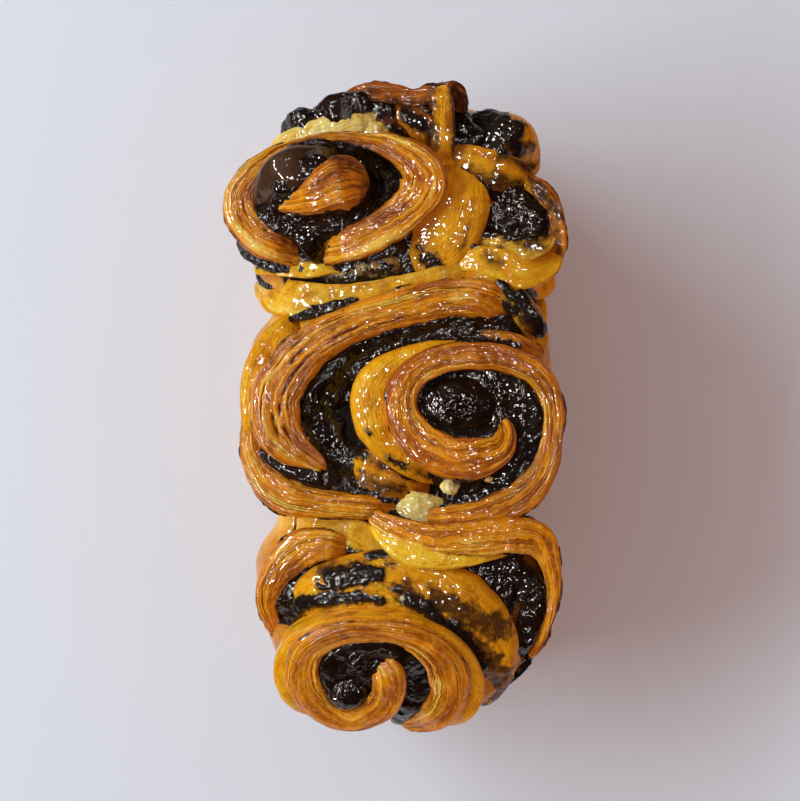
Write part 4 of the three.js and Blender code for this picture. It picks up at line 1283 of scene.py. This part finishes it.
@dataclass
class TinBody:
    """The loaf's body, pressed smooth by the tin: a tapered box with round corners and a flat base."""

    centre: tuple[float, float] = (2.0, 0.0)
    half_width: float = 48.0
    half_length: float = 101.0
    taper: float = 5.0
    corner: float = 3.8
    waists: tuple[float, ...] = (34.0, -36.0)
    waist_width: float = 8.0
    waist_depth: float = 0.15
    girth: float = 470.0     # the way round the plan, in mm
    steps: tuple[float, float] = (2.4, 1.9)   # the distance between points up and round, in gaps
    bulges: Rows = ((-1, 66, 7, 17), (-1, 4, 3, 24), (-1, -58, 1.5, 16), (1, 57, 3, 15), (1, 2, 2.5, 26),
                    (1, -56, 2, 18))
    profile: Rows = ((0, 0), (0.4, 0), (0.8, 0), (0.96, 0.2), (0.995, 2), (1, 6), (1, 20), (1, 42), (1, 50),
                     (0.97, 56), (0.88, 60), (0.6, 62), (0.3, 62), (0, 62))

    def build(self, finishes: Finishes, gap: float) -> None:
        """Makes the body. Its plan is a superellipse, which the waists pull in and the bulges push out, and
        its profile goes from the middle of the base up the wall to the middle of the top.

        Args:
            finishes: the loaf's finishes.
            gap: the distance between points on the strands, in mm.
        """
        share, length = spline(self.profile_mm())
        run = np.linspace(0, length[-1], int(length[-1] / gap / self.steps[0]))
        out, height = (np.interp(run, length, share[:, k])[:, None] for k in (0, 1))
        out = out / self.half_width
        turn = np.linspace(0, TAU, int(self.girth / gap / self.steps[1]), endpoint=False)[None]
        plan_x = signed_power(np.cos(turn), 2 / self.corner)
        plan_y = signed_power(np.sin(turn), 2 / self.corner)
        tapered = 1 - self.taper * (1 - np.clip(height / 50, 0, 1)) / self.half_width
        y = plan_y * out * self.half_length * (1 - (1 - tapered) * 0.5)
        pinch = sum(np.exp(-(((y - waist) / self.waist_width) ** 2)) for waist in self.waists)
        narrow = 1 - self.waist_depth * smooth_step(0, 52, height) * pinch
        x = plan_x * out * self.half_width * tapered * narrow
        for side, middle, reach, half in self.bulges:
            near = np.exp(-(((y - middle) / half) ** 2)) * smooth_step(8, 48, height)
            x = x + side * reach * near * np.clip(side * plan_x * out, 0, 1)
        points = np.stack([x + self.centre[0], y + self.centre[1], height * np.ones_like(x)], axis=-1)
        grid = Grid(points)
        wall = smooth_step(0.5, 4, height) * smooth_step(0.1, 0.6, out) * np.ones_like(x)
        flow = points / (14.0, 14.0, 3.0)
        # layers about 1.9 mm thick wander with the noise and show in patches of 19 mm, with soft wrinkles
        strength = np.clip(0.4 + 0.9 * NOISE.at(points / 19.0 + 3), 0, 1)
        phase = height / 1.9 + 1.2 * NOISE.at(points / 21.0) + 0.4 * NOISE.at(flow)
        ridge = np.abs(np.sin(math.pi * phase)) ** 0.6
        wrinkle = NOISE.layered(points / (9.0, 9.0, 4.0), 3)
        grid.push(wall * (0.45 * wrinkle + 0.22 * strength * (ridge - 0.6)))
        tone = NOISE.at(np.stack([np.floor(phase) * 5.17, x / 30, y / 30], axis=-1))
        # the top lies under the filling, so it is drawn as filling all over
        grid.masks = {
            "layer": 0.4 + 0.25 * tone + 0.7 * pinch * smooth_step(15, 50, height),
            "crease": 0.4 * strength * wall, "phase": phase,
            "groove_shade": np.zeros_like(x),
            "cocoa": 1.6 * smooth_step(60, 61.5, height) * np.ones_like(x),
            "scorch": smooth_step(0.25, 0.75, 0.5 * NOISE.layered(points / 23.0, 3) + 0.35
                                  - 0.5 * smooth_step(2, 30, height)) * 0.75,
            "edge": np.zeros_like(x), "run": x + y, "across": height * np.ones_like(x),
        }
        piece = grid.to_object("tin_baked_body")
        finishes.dress(piece, Surface.TIN)
        log.info("tin_baked_body: %d faces", len(piece.data.polygons))

    def profile_mm(self) -> Rows:
        """Gives the profile in mm, with the share of the half width as a distance."""
        return tuple((out * self.half_width, height, 0.0) for out, height in self.profile)


# ---------------------------------------------------------------------------------------------------------
# The studio


@dataclass
class Studio:
    """A plain pale table, a broad soft light from the left, small lamps that show only as lights on the wet
    faces, the even light of the room and the camera straight above.
    """

    table_size: float = 6.0
    camera_place: tuple[float, float, float] = (0.0017, 0.0025, 0.640)
    lens: float = 79.75
    key_place: tuple[float, float, float] = (-1.55, 0.3, 1.04)
    key_size: tuple[float, float] = (2.2, 0.28)
    key_power: float = 43.0
    spark_places: Rows = ((-0.75, 0.5, 0.9), (-0.7, 0.2, 0.92), (-0.72, -0.1, 0.92), (-0.75, -0.4, 0.9))
    spark_size: float = 0.085
    spark_power: float = 3.4
    glint_places: Rows = ((0.25, -0.3, 1.1), (0.05, 0.45, 1.0), (0.4, 0.15, 1.0), (-0.3, 0.25, 1.15),
                          (-0.35, -0.25, 1.15))
    glint_size: float = 0.05
    glint_power: float = 1.2
    key_colour: tuple[float, float, float] = (0.68, 0.92, 1.0)
    lamp_colour: tuple[float, float, float] = (1.0, 0.96, 0.92)
    room_colour: tuple[float, float, float, float] = (1.0, 0.77, 0.7, 1.0)
    wall_light: float = 1.1
    ceiling_light: float = 0.13

    def build(self) -> None:
        """Makes the table, the lights and the camera."""
        self.add_table()
        self.add_lights()
        self.add_camera()

    def add_table(self) -> None:
        """Adds the table top, which isn't part of the loaf."""
        half = self.table_size / 2
        mesh = bpy.data.meshes.new("table_top")
        corners = [(-half, -half, 0), (half, -half, 0), (half, half, 0), (-half, half, 0)]
        mesh.from_pydata(corners, [], [(0, 1, 2, 3)])
        mesh.materials.append(PaintedTable().make())
        table = bpy.data.objects.new("table_top", mesh)
        bpy.context.scene.collection.objects.link(table)

    def add_lights(self) -> None:
        """Adds the softbox, which lights the loaf but isn't mirrored in it, the small lamps, which are only
        mirrored, and the even light of the room.
        """
        lamps = [("key_softbox", self.key_place, self.key_size, self.key_power)]
        for kind, places, size, power in (
                ("spark", self.spark_places, self.spark_size, self.spark_power),
                ("glint", self.glint_places, self.glint_size, self.glint_power)):
            lamps += [(f"{kind}_lamp_{number}", place, (size, size), power)
                      for number, place in enumerate(places)]
        for name, place, size, power in lamps:
            lamp = bpy.data.lights.new(name, "AREA")
            lamp.shape = "RECTANGLE"
            lamp.size, lamp.size_y = size
            lamp.energy = power
            is_key = name == "key_softbox"
            lamp.color = self.key_colour if is_key else self.lamp_colour
            light = bpy.data.objects.new(name, lamp)
            light.location = place
            light.rotation_euler = (-Vector(place)).to_track_quat("-Z", "Y").to_euler()
            light.visible_glossy = not is_key
            light.visible_diffuse = is_key
            bpy.context.scene.collection.objects.link(light)
        bpy.context.scene.world = self.make_room()
        bpy.context.scene.view_settings.view_transform = "Standard"

    def make_room(self) -> bpy.types.World:
        """Makes the even light of the room, dim from the ceiling and brighter from the walls. It isn't
        mirrored, so wet faces stay dark between their lights.

        Returns:
            The world.
        """
        world = bpy.data.worlds.new("room")
        world.use_nodes = True
        world.cycles_visibility.glossy = False
        tree = world.node_tree
        background = tree.nodes["Background"]
        background.inputs["Color"].default_value = self.room_colour
        way = add_node(tree, "ShaderNodeTexCoord").outputs["Generated"]
        height = add_node(tree, "ShaderNodeSeparateXYZ", {0: way}).outputs["Z"]
        strength = add_node(tree, "ShaderNodeMapRange",
                            {0: height, 1: 0.0, 2: 1.0, 3: self.wall_light, 4: self.ceiling_light})
        tree.links.new(strength.outputs[0], background.inputs["Strength"])
        return world

    def add_camera(self) -> None:
        """Adds the camera, looking straight down with +Y up."""
        data = bpy.data.cameras.new("overhead_camera")
        data.lens = self.lens
        camera = bpy.data.objects.new("overhead_camera", data)
        camera.location = self.camera_place
        bpy.context.scene.collection.objects.link(camera)
        bpy.context.scene.camera = camera


def main() -> None:
    """Builds the loaf part by part, then the studio."""
    gap = FINE
    finishes = Finishes()
    TinBody().build(finishes, gap)
    rolls = (FirstRoll(), Crest(), SidePocket(), Waist(), MiddleRoll(), LastRoll())
    FillingBed().build(finishes, gap, [strand for roll in rolls for strand in roll.strands])
    for roll in rolls:
        roll.build(finishes, gap)
    Studio().build()
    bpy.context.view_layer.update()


if __name__ == "__main__":
    main()
